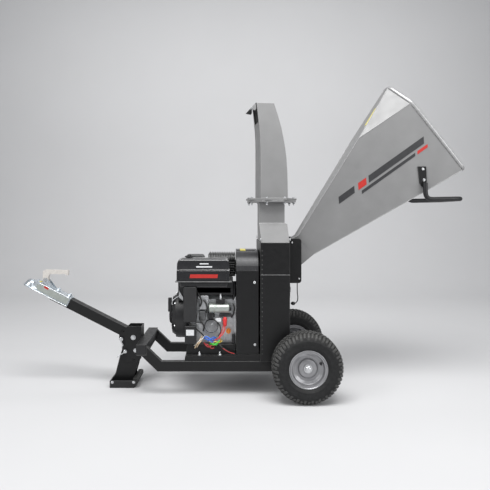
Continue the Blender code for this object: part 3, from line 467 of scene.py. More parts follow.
def smooth_path(points, steps=6):
    """A Catmull-Rom curve through given points."""
    p = [Vector(q) for q in points]
    p = [p[0] * 2 - p[1]] + p + [p[-1] * 2 - p[-2]]
    path = []
    for a, b, c, d in zip(p, p[1:], p[2:], p[3:]):
        for k in range(steps):
            t = k / steps
            path.append(0.5 * ((2 * b) + (c - a) * t + (2 * a - 5 * b + 4 * c - d) * t ** 2
                               + (3 * b - a - 3 * c + d) * t ** 3))
    path.append(p[-2])
    return path


def aimed(direction):
    return Vector(direction).to_track_quat("Z", "Y").to_matrix().to_4x4()


def add_bolt(bm, place, direction, size, washer=True, dome=False, turn=0.2, stud=0.0):
    """A bolt head of hexagon radius size, looking along direction, on a face at place."""
    part = bmesh.new()
    base = 0.0
    if washer:
        lathe(part, [(0, 0), (size * 1.3, 0), (size * 1.3, size * 0.16), (0, size * 0.16)],
              "Z", (0, 0), 24)
        base = size * 0.17
    if dome:
        profile = [(size * 1.0, base), (size * 1.0, base + size * 0.18)]
        profile += [(size * cos(a), base + size * (0.18 + 0.42 * sin(a)))
                    for a in (pi / 8, pi / 4, 3 * pi / 8)]
        lathe(part, [(0, base)] + profile + [(0, base + size * 0.6)], "Z", (0, 0), 20)
    else:
        top = base + size * 0.75
        rings = [[(r * cos(turn + pi / 3 * i), r * sin(turn + pi / 3 * i), h) for i in range(6)]
                 for r, h in ((size, base), (size, top - size * 0.1), (size * 0.88, top))]
        skin(part, rings)
        base = top
    if stud:
        lathe(part, [(0, base), (size * 0.55, base), (size * 0.55, base + stud - size * 0.1),
                     (size * 0.45, base + stud), (0, base + stud)], "Z", (0, 0), 20)
    part.transform(Matrix.Translation(place) @ aimed(direction))
    copy = bpy.data.meshes.new("bolt_part")
    part.to_mesh(copy)
    part.free()
    bm.from_mesh(copy)
    bpy.data.meshes.remove(copy)


def bolts(name, places, direction, size, material=None, body="chassis", **shape):
    bm = bmesh.new()
    for place in places:
        add_bolt(bm, place, direction, size, **shape)
    return piece_from(bm, name, material or BRIGHT_BOLT, body, angle=30)


# ---------------------------------------------------------------- wheels
TRACK_HALF = abs(middle("tyre_left").y)
LUGS = 54


def tyre_carcass(bm, side):
    """The carcass with a rounded bead, ribbed side walls and the floor of the tread."""
    half = [(0.0768, 0.0512), (0.083, 0.0516), (0.0895, 0.052), (0.0925, 0.0545),
            (0.0985, 0.0582), (0.104, 0.0602), (0.1055, 0.061), (0.107, 0.0607),
            (0.115, 0.0622), (0.125, 0.0632), (0.129, 0.0631), (0.1305, 0.0635),
            (0.132, 0.0628), (0.14, 0.0606), (0.147, 0.057), (0.153, 0.05),
            (0.157, 0.04), (0.159, 0.026), (0.16, 0.012), (0.1602, 0.0)]
    profile = half + [(r, -h) for r, h in reversed(half[:-1])]
    inner = [(0.0768, -0.0455), (0.092, -0.0465), (0.104, -0.052), (0.125, -0.056),
             (0.146, -0.049), (0.1545, -0.03), (0.156, 0.0)]
    profile += inner + [(r, -h) for r, h in reversed(inner[:-1])]
    lathe(bm, profile, "Y", (0, AXLE_Z), 108, side * TRACK_HALF, side, loop=True)


def tread_block(bm, angle, path, width, skew, side):
    """One block of the tread: a strip along path, (radius, offset, foot radius) points."""
    rings = []
    for k, (radius, offset, foot) in enumerate(path):
        share = k / (len(path) - 1) - 0.5
        turn = angle + skew * share / radius
        ring = []
        for height, half in ((foot, width * 0.62), (radius - 0.0012, width * 0.52),
                             (radius, width * 0.44)):
            ring.append((turn - half / radius, height))
        ring += [(2 * turn - t, h) for t, h in reversed(ring)]
        rings.append([(h * cos(t), side * TRACK_HALF + offset, AXLE_Z + h * sin(t))
                      for t, h in ring])
    skin(bm, rings)


def tyre(name, side):
    bm = bmesh.new()
    tyre_carcass(bm, side)
    piece_from(bm, "tyre_carcass_" + name, TYRE_RUBBER, "wheel_" + name, angle=50)
    bm = bmesh.new()
    shoulder = [(0.142, 0.0612, 0.135), (0.1495, 0.0592, 0.144), (0.156, 0.0535, 0.15),
                (0.161, 0.044, 0.1545), (0.1634, 0.035, 0.157)]
    rows = [(0.0235, 0.0068, 0.0105, 0.006), (0.0075, 0.0062, 0.01, -0.006)]
    for i in range(LUGS):
        angle = 2 * pi * i / LUGS
        half_step = pi / LUGS
        for flank in (-1, 1):
            shift = 0 if flank > 0 else half_step
            path = [(r, flank * y, foot) for r, y, foot in shoulder]
            long = path if i % 2 else path[1:]
            tread_block(bm, angle + shift, long, 0.0098, flank * 0.004, side)
            for k, (offset, half, width, skew) in enumerate(rows):
                turn = angle + shift + half_step * (k + 1)
                block_path = [(0.1646, flank * (offset + half), 0.158),
                              (0.1649, flank * (offset - half), 0.1585)]
                tread_block(bm, turn, block_path, width, flank * skew, side)
    tread = piece_from(bm, "tyre_tread_" + name, TREAD_HIGHLIGHT_RUBBER, "wheel_" + name, angle=30)
    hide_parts("tyre_" + name)


def rim(name, side):
    """Pressed rim: rolled lip, stepped well and a dished centre with its hub."""
    face = [(0.089, 0.0525), (0.0893, 0.0548), (0.088, 0.0556), (0.0855, 0.0552),
            (0.0838, 0.0532), (0.0815, 0.05), (0.08, 0.047), (0.0792, 0.0466),
            (0.0772, 0.0462), (0.0745, 0.042), (0.0733, 0.034), (0.0722, 0.0318),
            (0.0705, 0.0306), (0.064, 0.0282), (0.061, 0.0262), (0.0575, 0.024),
            (0.052, 0.0236), (0.047, 0.0238), (0.0448, 0.025), (0.0432, 0.029),
            (0.0415, 0.0318), (0.039, 0.033), (0.03, 0.0337), (0.0235, 0.034),
            (0.0222, 0.0346), (0.0215, 0.0366), (0.0205, 0.0372), (0.0132, 0.0372)]
    back = [(0.0132, -0.04), (0.0215, -0.04), (0.0215, 0.0308), (0.0395, 0.0292),
            (0.0432, 0.0212), (0.06, 0.021), (0.0708, 0.0262), (0.072, -0.05),
            (0.0855, -0.0552), (0.089, -0.0556), (0.0893, -0.0525), (0.08, -0.0522),
            (0.0762, -0.0515), (0.0762, 0.0515), (0.08, 0.0522)]
    bm = bmesh.new()
    lathe(bm, face + back, "Y", (0, AXLE_Z), 96, side * TRACK_HALF, side, loop=True)
    shell = piece_from(bm, "rim_finish_" + name, RIM_SILVER, "wheel_" + name,
                       angle=40)
    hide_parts("rim_" + name)
    base = side * (TRACK_HALF + 0.026)
    bm = bmesh.new()
    valve = [(0, 0), (0.0062, 0), (0.0055, 0.004), (0.0042, 0.01), (0.0042, 0.017),
             (0.0034, 0.0185), (0, 0.0185)]
    lathe(bm, valve, "Y", (0.059, AXLE_Z + 0.0225), 20, base, side)
    piece_from(bm, "valve_" + name, BLACK_PLASTIC, "wheel_" + name)
    bm = bmesh.new()
    out = side * (TRACK_HALF + 0.0374)
    washer = [(0.0134, 0), (0.019, 0), (0.019, 0.0022), (0.0134, 0.0022)]
    lathe(bm, washer, "Y", (0, AXLE_Z), 32, out, side, loop=True)
    rings = [[(r * cos(pi / 3 * i + 0.2), out + side * h, AXLE_Z + r * sin(pi / 3 * i + 0.2))
              for i in range(6)]
             for r, h in ((0.0155, 0.0024), (0.0155, 0.0096), (0.0136, 0.011))]
    skin(bm, rings)
    cap = [(0.0108, 0.011), (0.0108, 0.0136), (0.0085, 0.015), (0, 0.0152)]
    lathe(bm, [(0, 0.011)] + cap, "Y", (0, AXLE_Z), 24, out, side)
    piece_from(bm, "wheel_nut_" + name, BRIGHT_BOLT, "chassis", angle=30)


for wheel_name, wheel_side in SIDES:
    tyre(wheel_name, wheel_side)
    rim(wheel_name, wheel_side)


# ---------------------------------------------------------------- painted steelwork
BLACK_STEEL = {
    "rail_left": 0.0025, "rail_right": 0.0025, "front_cross_tube": 0.0028,
    "axle_carrier": 0.0012, "hinge_bracket": 0.0009, "stand_leg": 0.0009,
    "drawbar_tube": 0.0028, "engine_bed": 0.0012, "belt_guard": 0.0008, "guard_roof": 0.0007,
    "housing_lower": 0.0014, "housing_upper": 0.0014, "inlet_box": 0.001,
    "muffler_guard": 0.0012,
}
for steel_node, edge_width in BLACK_STEEL.items():
    softened(steel_node, edge_width, edge=BLACK_EDGE_HIGHLIGHT)
softened("stand_foot", 0.0024, FOOT_RUBBER, BLACK_EDGE_HIGHLIGHT)
for sheet_node, edge_width in {"hopper": 0.001, "chute_base": 0.0012, "chute_spout": 0.0012,
                               "chute_flap": 0.0005}.items():
    softened(sheet_node, edge_width, edge=GREY_EDGE_HIGHLIGHT)
for engine_node, edge_width in {"crankcase": 0.003, "cylinder": 0.0008, "blower_shroud": 0.002,
                                "air_filter": 0.005, "recoil_handle": 0.005,
                                "oil_plug": 0.0012, "bearing_front": 0.002,
                                "bearing_rear": 0.002, "anvil": 0.001}.items():
    softened(engine_node, edge_width)
softened("control_box", 0.0035, BOX_PLASTIC)
softened("muffler", 0.004, HEAT_STEEL)
softened("coupler_body", 0.001)
softened("coupler_lever", 0.003, LEVER_CAST, segments=3)

KEPT_NODES = ["axle", "ball_clamp", "crankshaft", "flywheel", "drive_pulley", "driven_pulley",
              "drive_belts", "rotor_shaft", "cutting_disc", "knife_a", "knife_b"]


def coat_kept_nodes():
    """Nodes that stay as they are in the frame, with a better finish."""
    for name in KEPT_NODES:
        mesh = frame["nodes"][name].data
        mesh.materials.clear()
        mesh.materials.append(SLOT_FINISH[SLOT_OF[name]])


coat_kept_nodes()


# ---------------------------------------------------------------- hopper
MOUTH_TOP = (0.446, 0.0443, 1.5168)
MOUTH_SIDE = (0.5324, 0.1235, 1.4225)
MOUTH_LOW = (0.791, 0.1235, 1.0941)
MOUTH_DIR = Vector((0.7747, 0.0, 0.6325))
MOUTH_BAR = 0.0098
NECK = (0.0685, 0.07, 0.676)
APEX = (0.285, 0.105, 1.257)


def side_panel_y(x, z):
    """Half width of the hopper's flat side panels."""
    reach = MOUTH_DIR.x * x + MOUTH_DIR.z * z
    low = MOUTH_DIR.x * NECK[0] + MOUTH_DIR.z * NECK[2]
    high = MOUTH_DIR.x * MOUTH_LOW[0] + MOUTH_DIR.z * MOUTH_LOW[2]
    return NECK[1] + (0.125 - NECK[1]) * (reach - low) / (high - low)


def mouth_bar():
    corners = [MOUTH_TOP, MOUTH_SIDE, MOUTH_LOW]
    loop = [Vector(p) for p in corners]
    loop += [Vector((x, -y, z)) for x, y, z in reversed(corners)]
    path = filleted([p + MOUTH_DIR * (MOUTH_BAR + 0.0004) for p in loop], 0.028, 7, loop=True)
    bar = tube("hopper_mouth_bar", path, MOUTH_BAR, MOUTH_BAR_HIGHLIGHT, "chassis",
               loop=True, sides=6)
    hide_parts("hopper_rim")


def decal(name, outline, side, material, lift=0.0004):
    """A thin label on a side panel of the hopper, from its X and Z outline."""
    bm = bmesh.new()
    rings = [[(x, side * (side_panel_y(x, z) + off), z) for x, z in outline]
             for off in (lift, lift + 0.0005)]
    skin(bm, rings)
    return piece_from(bm, name, material, "chassis")


def slanted_bar(start, end, width, lean=0.3):
    """Outline of a bar from start to end with slanted ends."""
    along = (Vector(end) - Vector(start)).normalized()
    across = Vector((-along.y, along.x)) * width / 2
    slant = along * width * lean
    a, b = Vector(start), Vector(end)
    return [tuple(p) for p in (a - across - slant, b - across - slant,
                               b + across + slant, a + across + slant)]


def hopper_marks():
    """Plain stripes on each side and a plain yellow label on the top panel."""
    stripes = [("wide_dark", (0.334, 1.051), (0.601, 1.244), 0.03, STRIPE_BLACK),
               ("wide_red", (0.283, 1.014), (0.322, 1.042), 0.03, STRIPE_RED),
               ("narrow_dark", (0.301, 0.986), (0.56, 1.173), 0.014, STRIPE_BLACK),
               ("narrow_red", (0.571, 1.181), (0.62, 1.216), 0.014, STRIPE_RED),
               ("short_dark", (0.187, 0.945), (0.264, 1.001), 0.03, STRIPE_BLACK)]
    for name, side in SIDES:
        for label, start, end, width, material in stripes:
            decal(f"stripe_{label}_{name}", slanted_bar(start, end, width), side, material)
    bm = bmesh.new()
    rings = []
    for lift in (0.0004, 0.0009):
        ring = []
        for share, inset in ((0.27, 0.004), (0.27, 0.048), (0.74, 0.03), (0.74, 0.004)):
            x = APEX[0] + (MOUTH_TOP[0] - APEX[0]) * share
            z = APEX[2] + (MOUTH_TOP[2] - APEX[2]) * share
            y = APEX[1] - (APEX[1] - 0.045) * share - inset
            ring.append((x - 0.853 * lift, -y, z + 0.523 * lift))
        rings.append(ring)
    skin(bm, rings)
    piece_from(bm, "hopper_label", LABEL_YELLOW, "chassis")


def hopper_seams():
    """Folded seams that run up the hopper's edges."""
    for name, side in SIDES:
        low = [(0.07, side * 0.07, 0.6768), (0.538, side * 0.105, 0.947),
               (0.7895, side * 0.125, 1.093)]
        # The seam beads are drawn in the lighter edge grey, a painted highlight along the hopper's
        # edges.
        bead("hopper_low_seam_" + name, low, 0.0016, GREY_EDGE_HIGHLIGHT, "chassis")
        high = [(-0.014, side * 0.07, 0.7672), (0.2848, side * 0.105, 1.257),
                (0.531, side * 0.125, 1.423)]
        bead("hopper_high_seam_" + name, high, 0.0014, GREY_EDGE_HIGHLIGHT, "chassis")
        ridge = [(0.2848, side * 0.105, 1.257), (0.4448, side * 0.045, 1.518)]
        bead("hopper_ridge_seam_" + name, ridge, 0.0014, GREY_EDGE_HIGHLIGHT, "chassis")


HANDLE_Y = 0.133
HANDLE_R = 0.0115


def hopper_handle():
    bar = [(0.604, HANDLE_Y, 1.03), (0.606, HANDLE_Y, 0.949), (0.793, HANDLE_Y, 0.9527)]
    path = bar + [(x, -y, z) for x, y, z in reversed(bar)]
    handle = tube("hopper_handle_bar", filleted(path, 0.056, 10), HANDLE_R, BLACK_PLASTIC,
                  "chassis")
    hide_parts("hopper_handle")
    face = [(0.572, 1.113), (0.613, 1.113), (0.618, 1.01), (0.596, 1.01), (0.582, 1.03)]
    for name, side in SIDES:
        bm = bmesh.new()
        skin(bm, [[(x, side * (side_panel_y(x, z) + off), z) for x, z in face]
                  for off in (0.0008, 0.0068)])
        piece_from(bm, "handle_strip_" + name, BLACK_PAINT, "chassis",
                   bevel=0.0012, edge=BLACK_EDGE_HIGHLIGHT)
        bm = bmesh.new()
        block(bm, (0.596, 0.612), sorted((side * 0.118, side * 0.13)), (1.012, 1.036))
        piece_from(bm, "handle_foot_" + name, BLACK_PAINT, "chassis",
                   bevel=0.0015)
        places = [(x, side * (side_panel_y(x, z) + 0.0068), z)
                  for x, z in ((0.597, 1.0995), (0.603, 1.046))]
        bolts("handle_bolts_" + name, places, (0, side, 0), 0.0052)


mouth_bar()
hopper_marks()
hopper_seams()
hopper_handle()

# ---------------------------------------------------------------- chute
CHUTE_X = -0.147
CHUTE_TURN = radians(8)
FLANGE_LOW, FLANGE_TOP = 0.937, 0.957
FLANGE_BOLT_RADIUS = 0.118
NUT_GAP = 0.0008           # the nuts turn with the spout, clear of the fixed flange
SEAM_BEAD = 0.0022


def from_chute(x, y, z):
    """A point in the spout's own frame, turned with it."""
    return (CHUTE_X + x * cos(CHUTE_TURN) - y * sin(CHUTE_TURN),
            x * sin(CHUTE_TURN) + y * cos(CHUTE_TURN), z)


def flange_bolts():
    ring = [radians(22.5 + 45 * k) for k in range(8)]
    places = [from_chute(FLANGE_BOLT_RADIUS * cos(a), FLANGE_BOLT_RADIUS * sin(a),
                         FLANGE_TOP) for a in ring]
    bolts("flange_bolt_heads", places, (0, 0, 1), 0.0068, body="spout")
    places = [from_chute(FLANGE_BOLT_RADIUS * cos(a), FLANGE_BOLT_RADIUS * sin(a),
                         FLANGE_LOW - NUT_GAP) for a in ring]
    bolts("flange_bolt_nuts", places, (0, 0, -1), 0.0068, body="spout", stud=0.008)


def weld_loop(name, x, half, z, body, turned=False):
    corners = [(x[0], -half), (x[1], -half), (x[1], half), (x[0], half)]
    if turned:
        path = [from_chute(u, v, z) for u, v in corners]
    else:
        path = [(u, v, z) for u, v in corners]
    tube(name, filleted(path, 0.004, 3, loop=True), SEAM_BEAD, GREY_PAINT, body,
         loop=True, sides=2)


def chute_details():
    flange_bolts()
    weld_loop("weld_under_flange", (-0.213, -0.084), 0.08, FLANGE_LOW, "chassis")
    weld_loop("weld_over_flange", (-0.0686, 0.0715), 0.075, FLANGE_TOP, "spout", turned=True)
    hinge_x, hinge_z = -0.0905, 1.4385
    ends = [from_chute(hinge_x, -0.0655, hinge_z), from_chute(hinge_x, 0.0655, hinge_z)]
    tube("flap_hinge_pin", ends, 0.003, BRIGHT_BOLT, "flap")
    out = Vector((sin(CHUTE_TURN), -cos(CHUTE_TURN), 0))
    for name, y, sign in (("near", -0.061, 1), ("far", 0.061, -1)):
        place = from_chute(hinge_x - 0.021, y, hinge_z - 0.027)
        bolts("flap_bolt_" + name, [place], out * sign, 0.0045, body="flap")


chute_details()

# ---------------------------------------------------------------- housing and belt guard
# Dark grey with streaks stretched along X, lighter than the black paint, for the guard's rounded
# roof: a painted sheen.
GUARD_PAINTED_SHEEN = finish("guard_roof_painted_sheen", (0.032, 0.032, 0.034), 0.4, metallic=0.2,
                     mottle=0.18, patch=0.03, grain=0.001, height=0.00004, stretch=(6, 1, 1))
HOUSE_Y = 0.2
GUARD_Y = 0.19


def housing_details():
    for name, side in SIDES:
        places = [(-0.241, side * GUARD_Y, 0.546), (-0.239, side * GUARD_Y, 0.247)]
        bolts("guard_bolts_" + name, places, (0, side, 0), 0.0066, dome=True, washer=False)
        # The rivet heads take the light grey edge finish, a painted highlight on each head.
        dots = [(-0.2045, side * HOUSE_Y, 0.205 + 0.0225 * k) for k in range(23)]
        bolts("housing_rivets_" + name, dots, (0, side, 0), 0.0019, GLINT, dome=True,
              washer=False)
        # The seam is a light grey bead: a painted highlight along the joint.
        joint = [(x, side * HOUSE_Y, 0.5838) for x in (-0.2115, -0.0725)]
        bead("housing_seam_" + name, joint, 0.0016, GLINT)
        # The weld bead at the housing's foot is drawn in the lighter edge black, a painted
        # highlight.
        foot = [(x, side * GUARD_Y, 0.1672) for x in (-0.213, -0.03)]
        bead("housing_foot_weld_" + name, foot, 0.0022, BLACK_EDGE_HIGHLIGHT)
        for end, x, out in (("front", -0.21, -1), ("rear", -0.071, 1)):
            bolts(f"housing_top_bolt_{end}_{name}", [(x, side * 0.183, 0.752)], (out, 0, 0),
                  0.0066, dome=True)
    roof = frame["nodes"]["guard_roof"]
    for piece in bpy.data.objects:
        if piece.name == "guard_roof_finish":
            piece.data.materials[0] = GUARD_PAINTED_SHEEN
    bm = bmesh.new()
    top = max(vertex.co.z for vertex in roof.data.vertices)
    block(bm, (-0.326, -0.234), (-0.055, 0.055), (top + 0.0003, top + 0.003))
    piece_from(bm, "guard_roof_strip", STRIPE_BLACK, "chassis", bevel=0.0006)
    bm = bmesh.new()
    block(bm, (-0.308, -0.281), (-0.057, 0.057), (top + 0.0028, top + 0.0036))
    block(bm, (-0.308, -0.281), (-0.0575, -0.0552), (top + 0.0004, top + 0.0036))
    piece_from(bm, "guard_roof_label", LABEL_YELLOW, "chassis")


def inlet_details():
    for name, side in SIDES:
        places = [(-0.017, side * 0.12, 0.556), (-0.052, side * 0.12, 0.735)]
        bolts("inlet_bolts_" + name, places, (0, side, 0), 0.005, STEEL, washer=False,
              dome=True)
    x, y = -0.017, -0.05
    wire = [(x, y, 0.5335), (x, y, 0.5), (x + 0.001, y, 0.47), (x + 0.003, y, 0.452),
            (x + 0.001, y, 0.436), (x - 0.006, y, 0.426), (x - 0.014, y, 0.4215)]
    latch = tube("latch_wire", smooth_path(wire), 0.0024, BLACK_PLASTIC, "latch_lever")
    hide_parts("latch_lever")
    bm = bmesh.new()
    knob = [(0, 0)] + [(0.0092 * sin(a), 0.012 - 0.012 * cos(a))
                       for a in [pi / 12 * k for k in range(1, 12)]] + [(0, 0.024)]
    lathe(bm, knob, "X", (y, 0.4215), 32, x - 0.033)
    piece_from(bm, "latch_knob", BLACK_PLASTIC, "latch_lever")


housing_details()
inlet_details()

# ---------------------------------------------------------------- drawbar, bracket and stand
DRAW_ANGLE = radians(27)
PIVOT = (-0.855, 0.2455)
UP_DRAWBAR = Vector((sin(DRAW_ANGLE), 0, cos(DRAW_ANGLE)))
LEVER = (-1.314, 0.5375)


def along_drawbar(s, n, y=0.0):
    """A point s along the drawbar from its pivot and n above its middle line."""
    return (PIVOT[0] - s * cos(DRAW_ANGLE) + n * sin(DRAW_ANGLE), y,
            PIVOT[1] + s * sin(DRAW_ANGLE) + n * cos(DRAW_ANGLE))


def coupling():
    skin_y, top = 0.0294, 0.0295
    places = [along_drawbar(s, top) for s in (0.394, 0.458)]
    bolts("coupler_top_bolts", places, UP_DRAWBAR, 0.0105, ZINC, "drawbar", stud=0.006)
    for name, side in SIDES:
        bm = bmesh.new()
        outline = [along_drawbar(s, n) for s, n in
                   ((0.383, -0.01), (0.548, -0.01), (0.566, 0.002), (0.566, 0.015),
                    (0.548, 0.0225), (0.383, 0.0225))]
        flat = [(x, z) for x, _, z in outline]
        prism(bm, flat, "Y", *sorted((side * (skin_y + 0.0002), side * (skin_y + 0.0009))))
        piece_from(bm, "coupler_side_" + name, ZINC_DULL, "drawbar", bevel=0.0003)
        edge = [along_drawbar(s, 0.0265, side * 0.0285) for s in (0.379, 0.556)]
        bead("coupler_lip_" + name, edge, 0.002, BRIGHT_BOLT, "drawbar")
        edge = [along_drawbar(s, -0.0157, side * 0.0362) for s in (0.379, 0.578)]
        bead("coupler_flange_" + name, edge, 0.0022, BRIGHT_BOLT, "drawbar")
    bm = bmesh.new()
    pivot = [(0, -0.02), (0.0085, -0.02), (0.0095, -0.0188), (0.0095, -0.0165),
             (0.004, -0.0163), (0.004, 0.0163), (0.0095, 0.0165), (0.0095, 0.0188),
             (0.0085, 0.02), (0, 0.02)]
    lathe(bm, pivot, "Y", LEVER, 32)
    piece_from(bm, "lever_pivot", BRIGHT_BOLT, "drawbar")
    bm = bmesh.new()
    outline = [along_drawbar(s, n) for s, n in ((0.5, 0.016), (0.524, 0.016),
                                               (0.528, 0.0265), (0.504, 0.0265))]
    prism(bm, [(x, z) for x, _, z in outline], "Y", -0.0309, -0.0305)
    piece_from(bm, "coupler_red_label", STRIPE_RED, "drawbar")
    bm = bmesh.new()
    outline = [along_drawbar(s, n) for s, n in ((0.556, 0.0298), (0.58, 0.0262),
                                               (0.58, 0.0272), (0.556, 0.0308))]
    prism(bm, [(x, z) for x, _, z in outline], "Y", -0.012, 0.012)
    piece_from(bm, "coupler_yellow_label", LABEL_YELLOW, "drawbar")


def pull_pin(node, place, radius, clip):
    """A pin with a domed head on the tank side, and its spring clip."""
    bm = bmesh.new()
    head = radius + 0.003
    profile = [(0, -0.0545), (head * 0.7, -0.054), (head, -0.0525), (head, -0.049),
               (radius, -0.0486), (radius, 0.0465), (radius - 0.0012, 0.048), (0, 0.048)]
    lathe(bm, profile, "Y", place, 32)
    pin = piece_from(bm, node + "_finish", BRIGHT_BOLT, node, angle=28)
    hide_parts(node)
    wire = [(place[0] + dx, -0.0565, place[1] + dz) for dx, dz in clip]
    bead(node + "_clip", smooth_path(wire), 0.0021, BRIGHT_BOLT, node)


def pivot_bolt(node, place, size, radius):
    """Hexagon head and washer on the tank side, a nut on the far side, and the shank."""
    bm = bmesh.new()
    add_bolt(bm, (place[0], -0.0407, place[1]), (0, -1, 0), size)
    add_bolt(bm, (place[0], 0.0407, place[1]), (0, 1, 0), size, stud=0.003)
    lathe(bm, [(0, -0.0405), (radius, -0.0405), (radius, 0.0405), (0, 0.0405)], "Y", place, 24)
    bolt = piece_from(bm, node + "_finish", BRIGHT_BOLT, "chassis", angle=28)
    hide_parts(node)


def stand_details():
    for name, side in SIDES:
        places = [(-0.953, side * 0.08, 0.029), (-0.845, side * 0.08, 0.029)]
        bolts("foot_bolts_" + name, places, (0, side, 0), 0.0056, body="stand", dome=True)
        # A bead in the lighter edge black along the foot's top edge: a painted highlight.
        edge = [(x, side * 0.079, 0.0365) for x in (-0.96, -0.849)]
        bead("foot_edge_" + name, edge, 0.0011, BLACK_EDGE_HIGHLIGHT, "stand")
    bm = bmesh.new()
    for k in range(9):
        x = -0.96 + 0.0135 * k
        block(bm, (x, x + 0.0055), (-0.0806, -0.0798), (0.003, 0.018))
    piece_from(bm, "foot_grips", FOOT_RUBBER, "stand", bevel=0.0004)


def chassis_welds():
    for name, side in SIDES:
        # A bead where the rail meets the cross tube, in the lighter edge black: a painted highlight
        # along the joint.
        seam = [(x, side * 0.1895, 0.1958) for x in (-0.811, -0.764)]
        bead("rail_front_highlight_bead_" + name, seam, 0.002, BLACK_EDGE_HIGHLIGHT)
        back = [(-0.7628, side * y, 0.1965) for y in (0.166, 0.189)]
        bead("rail_rear_weld_" + name, back, 0.0024, BLACK_PAINT)
        upright = [(-0.8133, side * 0.042, z) for z in (0.199, 0.243)]
        bead("bracket_weld_" + name, upright, 0.0026, BLACK_PAINT)
        bm = bmesh.new()
        block(bm, (-0.7885 - 0.0215, -0.7885 + 0.0215), sorted((side * 0.188, side * 0.1905)),
              (0.1985, 0.2435))
        piece_from(bm, "cross_tube_cap_" + name, BLACK_PLASTIC, "chassis",
                   bevel=0.001)


coupling()
pull_pin("drawbar_pin", (-0.914, 0.2395), 0.0065,
         [(0.0, -0.004), (0.004, -0.011), (0.0, -0.016), (0.006, -0.022), (0.011, -0.029),
          (0.007, -0.034), (0.004, -0.041)])
pull_pin("stand_pin", (-0.894, 0.1765), 0.006,
         [(0.004, 0.002), (-0.006, -0.005), (-0.013, -0.01), (-0.02, -0.013),
          (-0.028, -0.02), (-0.04, -0.027)])
pivot_bolt("drawbar_pivot_bolt", PIVOT, 0.0098, 0.0078)
pivot_bolt("stand_pivot_bolt", (-0.844, 0.179), 0.0078, 0.0058)
stand_details()
chassis_welds()

# ---------------------------------------------------------------- engine
CRANK = (-0.045, 0.365)


def box_piece(name, x, y, z, material, bevel, body="chassis"):
    bm = bmesh.new()
    block(bm, x, y, z)
    return piece_from(bm, name, material, body, bevel=bevel, segments=3)


def fuel_tank():
    """Two pressed halves: a creased upper half with rounded ends, a seam lip and a tub."""
    side = [(-0.19, 0.5527), (-0.19, 0.598), (-0.187, 0.604), (-0.181, 0.612),
            (-0.177, 0.64)] + arc((-0.158, 0.643), 0.018, 178, 94, 5)
    side += arc((0.01, 0.634), 0.018, 86, 6, 5) + [(0.034, 0.5527)]
    stations = [(-0.617, 0.46), (-0.616, 0.64), (-0.612, 0.81), (-0.604, 0.93),
                (-0.589, 1.0), (-0.385, 1.0), (-0.372, 0.93), (-0.365, 0.8), (-0.362, 0.5)]
    low, high = 0.596, 0.662
    bm = bmesh.new()
    skin(bm, [[(x, y, min(z, low + (high - low) * share)) for y, z in side]
              for x, share in stations])
    bmesh.ops.remove_doubles(bm, verts=bm.verts, dist=0.0002)
    upper = piece_from(bm, "fuel_tank_upper", GLOSS_BLACK, "chassis",
                       bevel=0.003, segments=3, angle=30)
    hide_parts("fuel_tank")
    # The seam lip is light grey: a painted highlight along the lip.
    box_piece("fuel_tank_lip", (-0.624, -0.35), (-0.1955, 0.04), (0.5475, 0.5522),
              GLINT, 0.0018)
    box_piece("fuel_tank_side_panel", (-0.604, -0.374), (-0.1918, -0.189), (0.558, 0.602),
              GLOSS_BLACK, 0.0026)
    bm = bmesh.new()
    prism(bm, [(-0.606, 0.547), (-0.6, 0.52), (-0.372, 0.52), (-0.366, 0.547)], "Y",
          -0.176, 0.02)
    piece_from(bm, "fuel_tank_tub", GLOSS_BLACK, "chassis", bevel=0.006,
               segments=3)
    # A light grey bead along the crease: a painted highlight.
    crease = [(-0.608, -0.1866, 0.603), (-0.598, -0.1866, 0.6075), (-0.372, -0.1866, 0.6075)]
    bead("tank_crease", crease, 0.0021, GLINT, "chassis")
    bm = bmesh.new()
    skin(bm, [[(x, y - off, z) for x, y, z in
               ((-0.554, -0.1921, 0.568), (-0.42, -0.1921, 0.568),
                (-0.417, -0.1921, 0.586), (-0.551, -0.1921, 0.586))]
              for off in (0.0, 0.0006)])
    piece_from(bm, "tank_stripe", STRIPE_RED, "chassis")
    # Two white bars on the tank's sloping face: painted reflections of light.
    for name, x, z, height in (("low", (-0.523, -0.446), 0.618, 0.006),
                               ("high", (-0.506, -0.463), 0.633, 0.005)):
        bm = bmesh.new()
        skin(bm, [[(u, -0.1812 + (v - 0.612) * 0.143 - off, v) for u, v in
                   ((x[0], z), (x[1], z), (x[1], z + height), (x[0], z + height))]
                  for off in (0.0003, 0.0012)])
        piece_from(bm, "tank_reflection_mark_" + name, LABEL_WHITE, "chassis")
    filler = (-0.565, -0.07)
    bm = bmesh.new()
    lathe(bm, [(0, 0.648), (0.0163, 0.648), (0.0163, 0.6595), (0.0205, 0.6597),
               (0.022, 0.661), (0.022, 0.664), (0.0205, 0.6652), (0.01, 0.6656),
               (0.009, 0.67), (0.008, 0.6718), (0.004, 0.6725), (0, 0.6725)],
          "Z", filler, 48)
    for k in range(24):
        a = 2 * pi * k / 24
        x, y = filler[0] + 0.0221 * cos(a), filler[1] + 0.0221 * sin(a)
        block(bm, (x - 0.0009, x + 0.0009), (y - 0.0009, y + 0.0009), (0.6606, 0.6644))
    cap = piece_from(bm, "fuel_cap_finish", BLACK_PLASTIC, "fuel_cap")
    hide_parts("fuel_cap")


GRIP_YZ = (-0.107, 0.421)  # middle of the pull handle, and where its rope leaves
GRIP_CLEAR = 0.036         # no louvre ends nearer to it than this
LOUVRES = 28
LOUVRE_REACH = 0.093


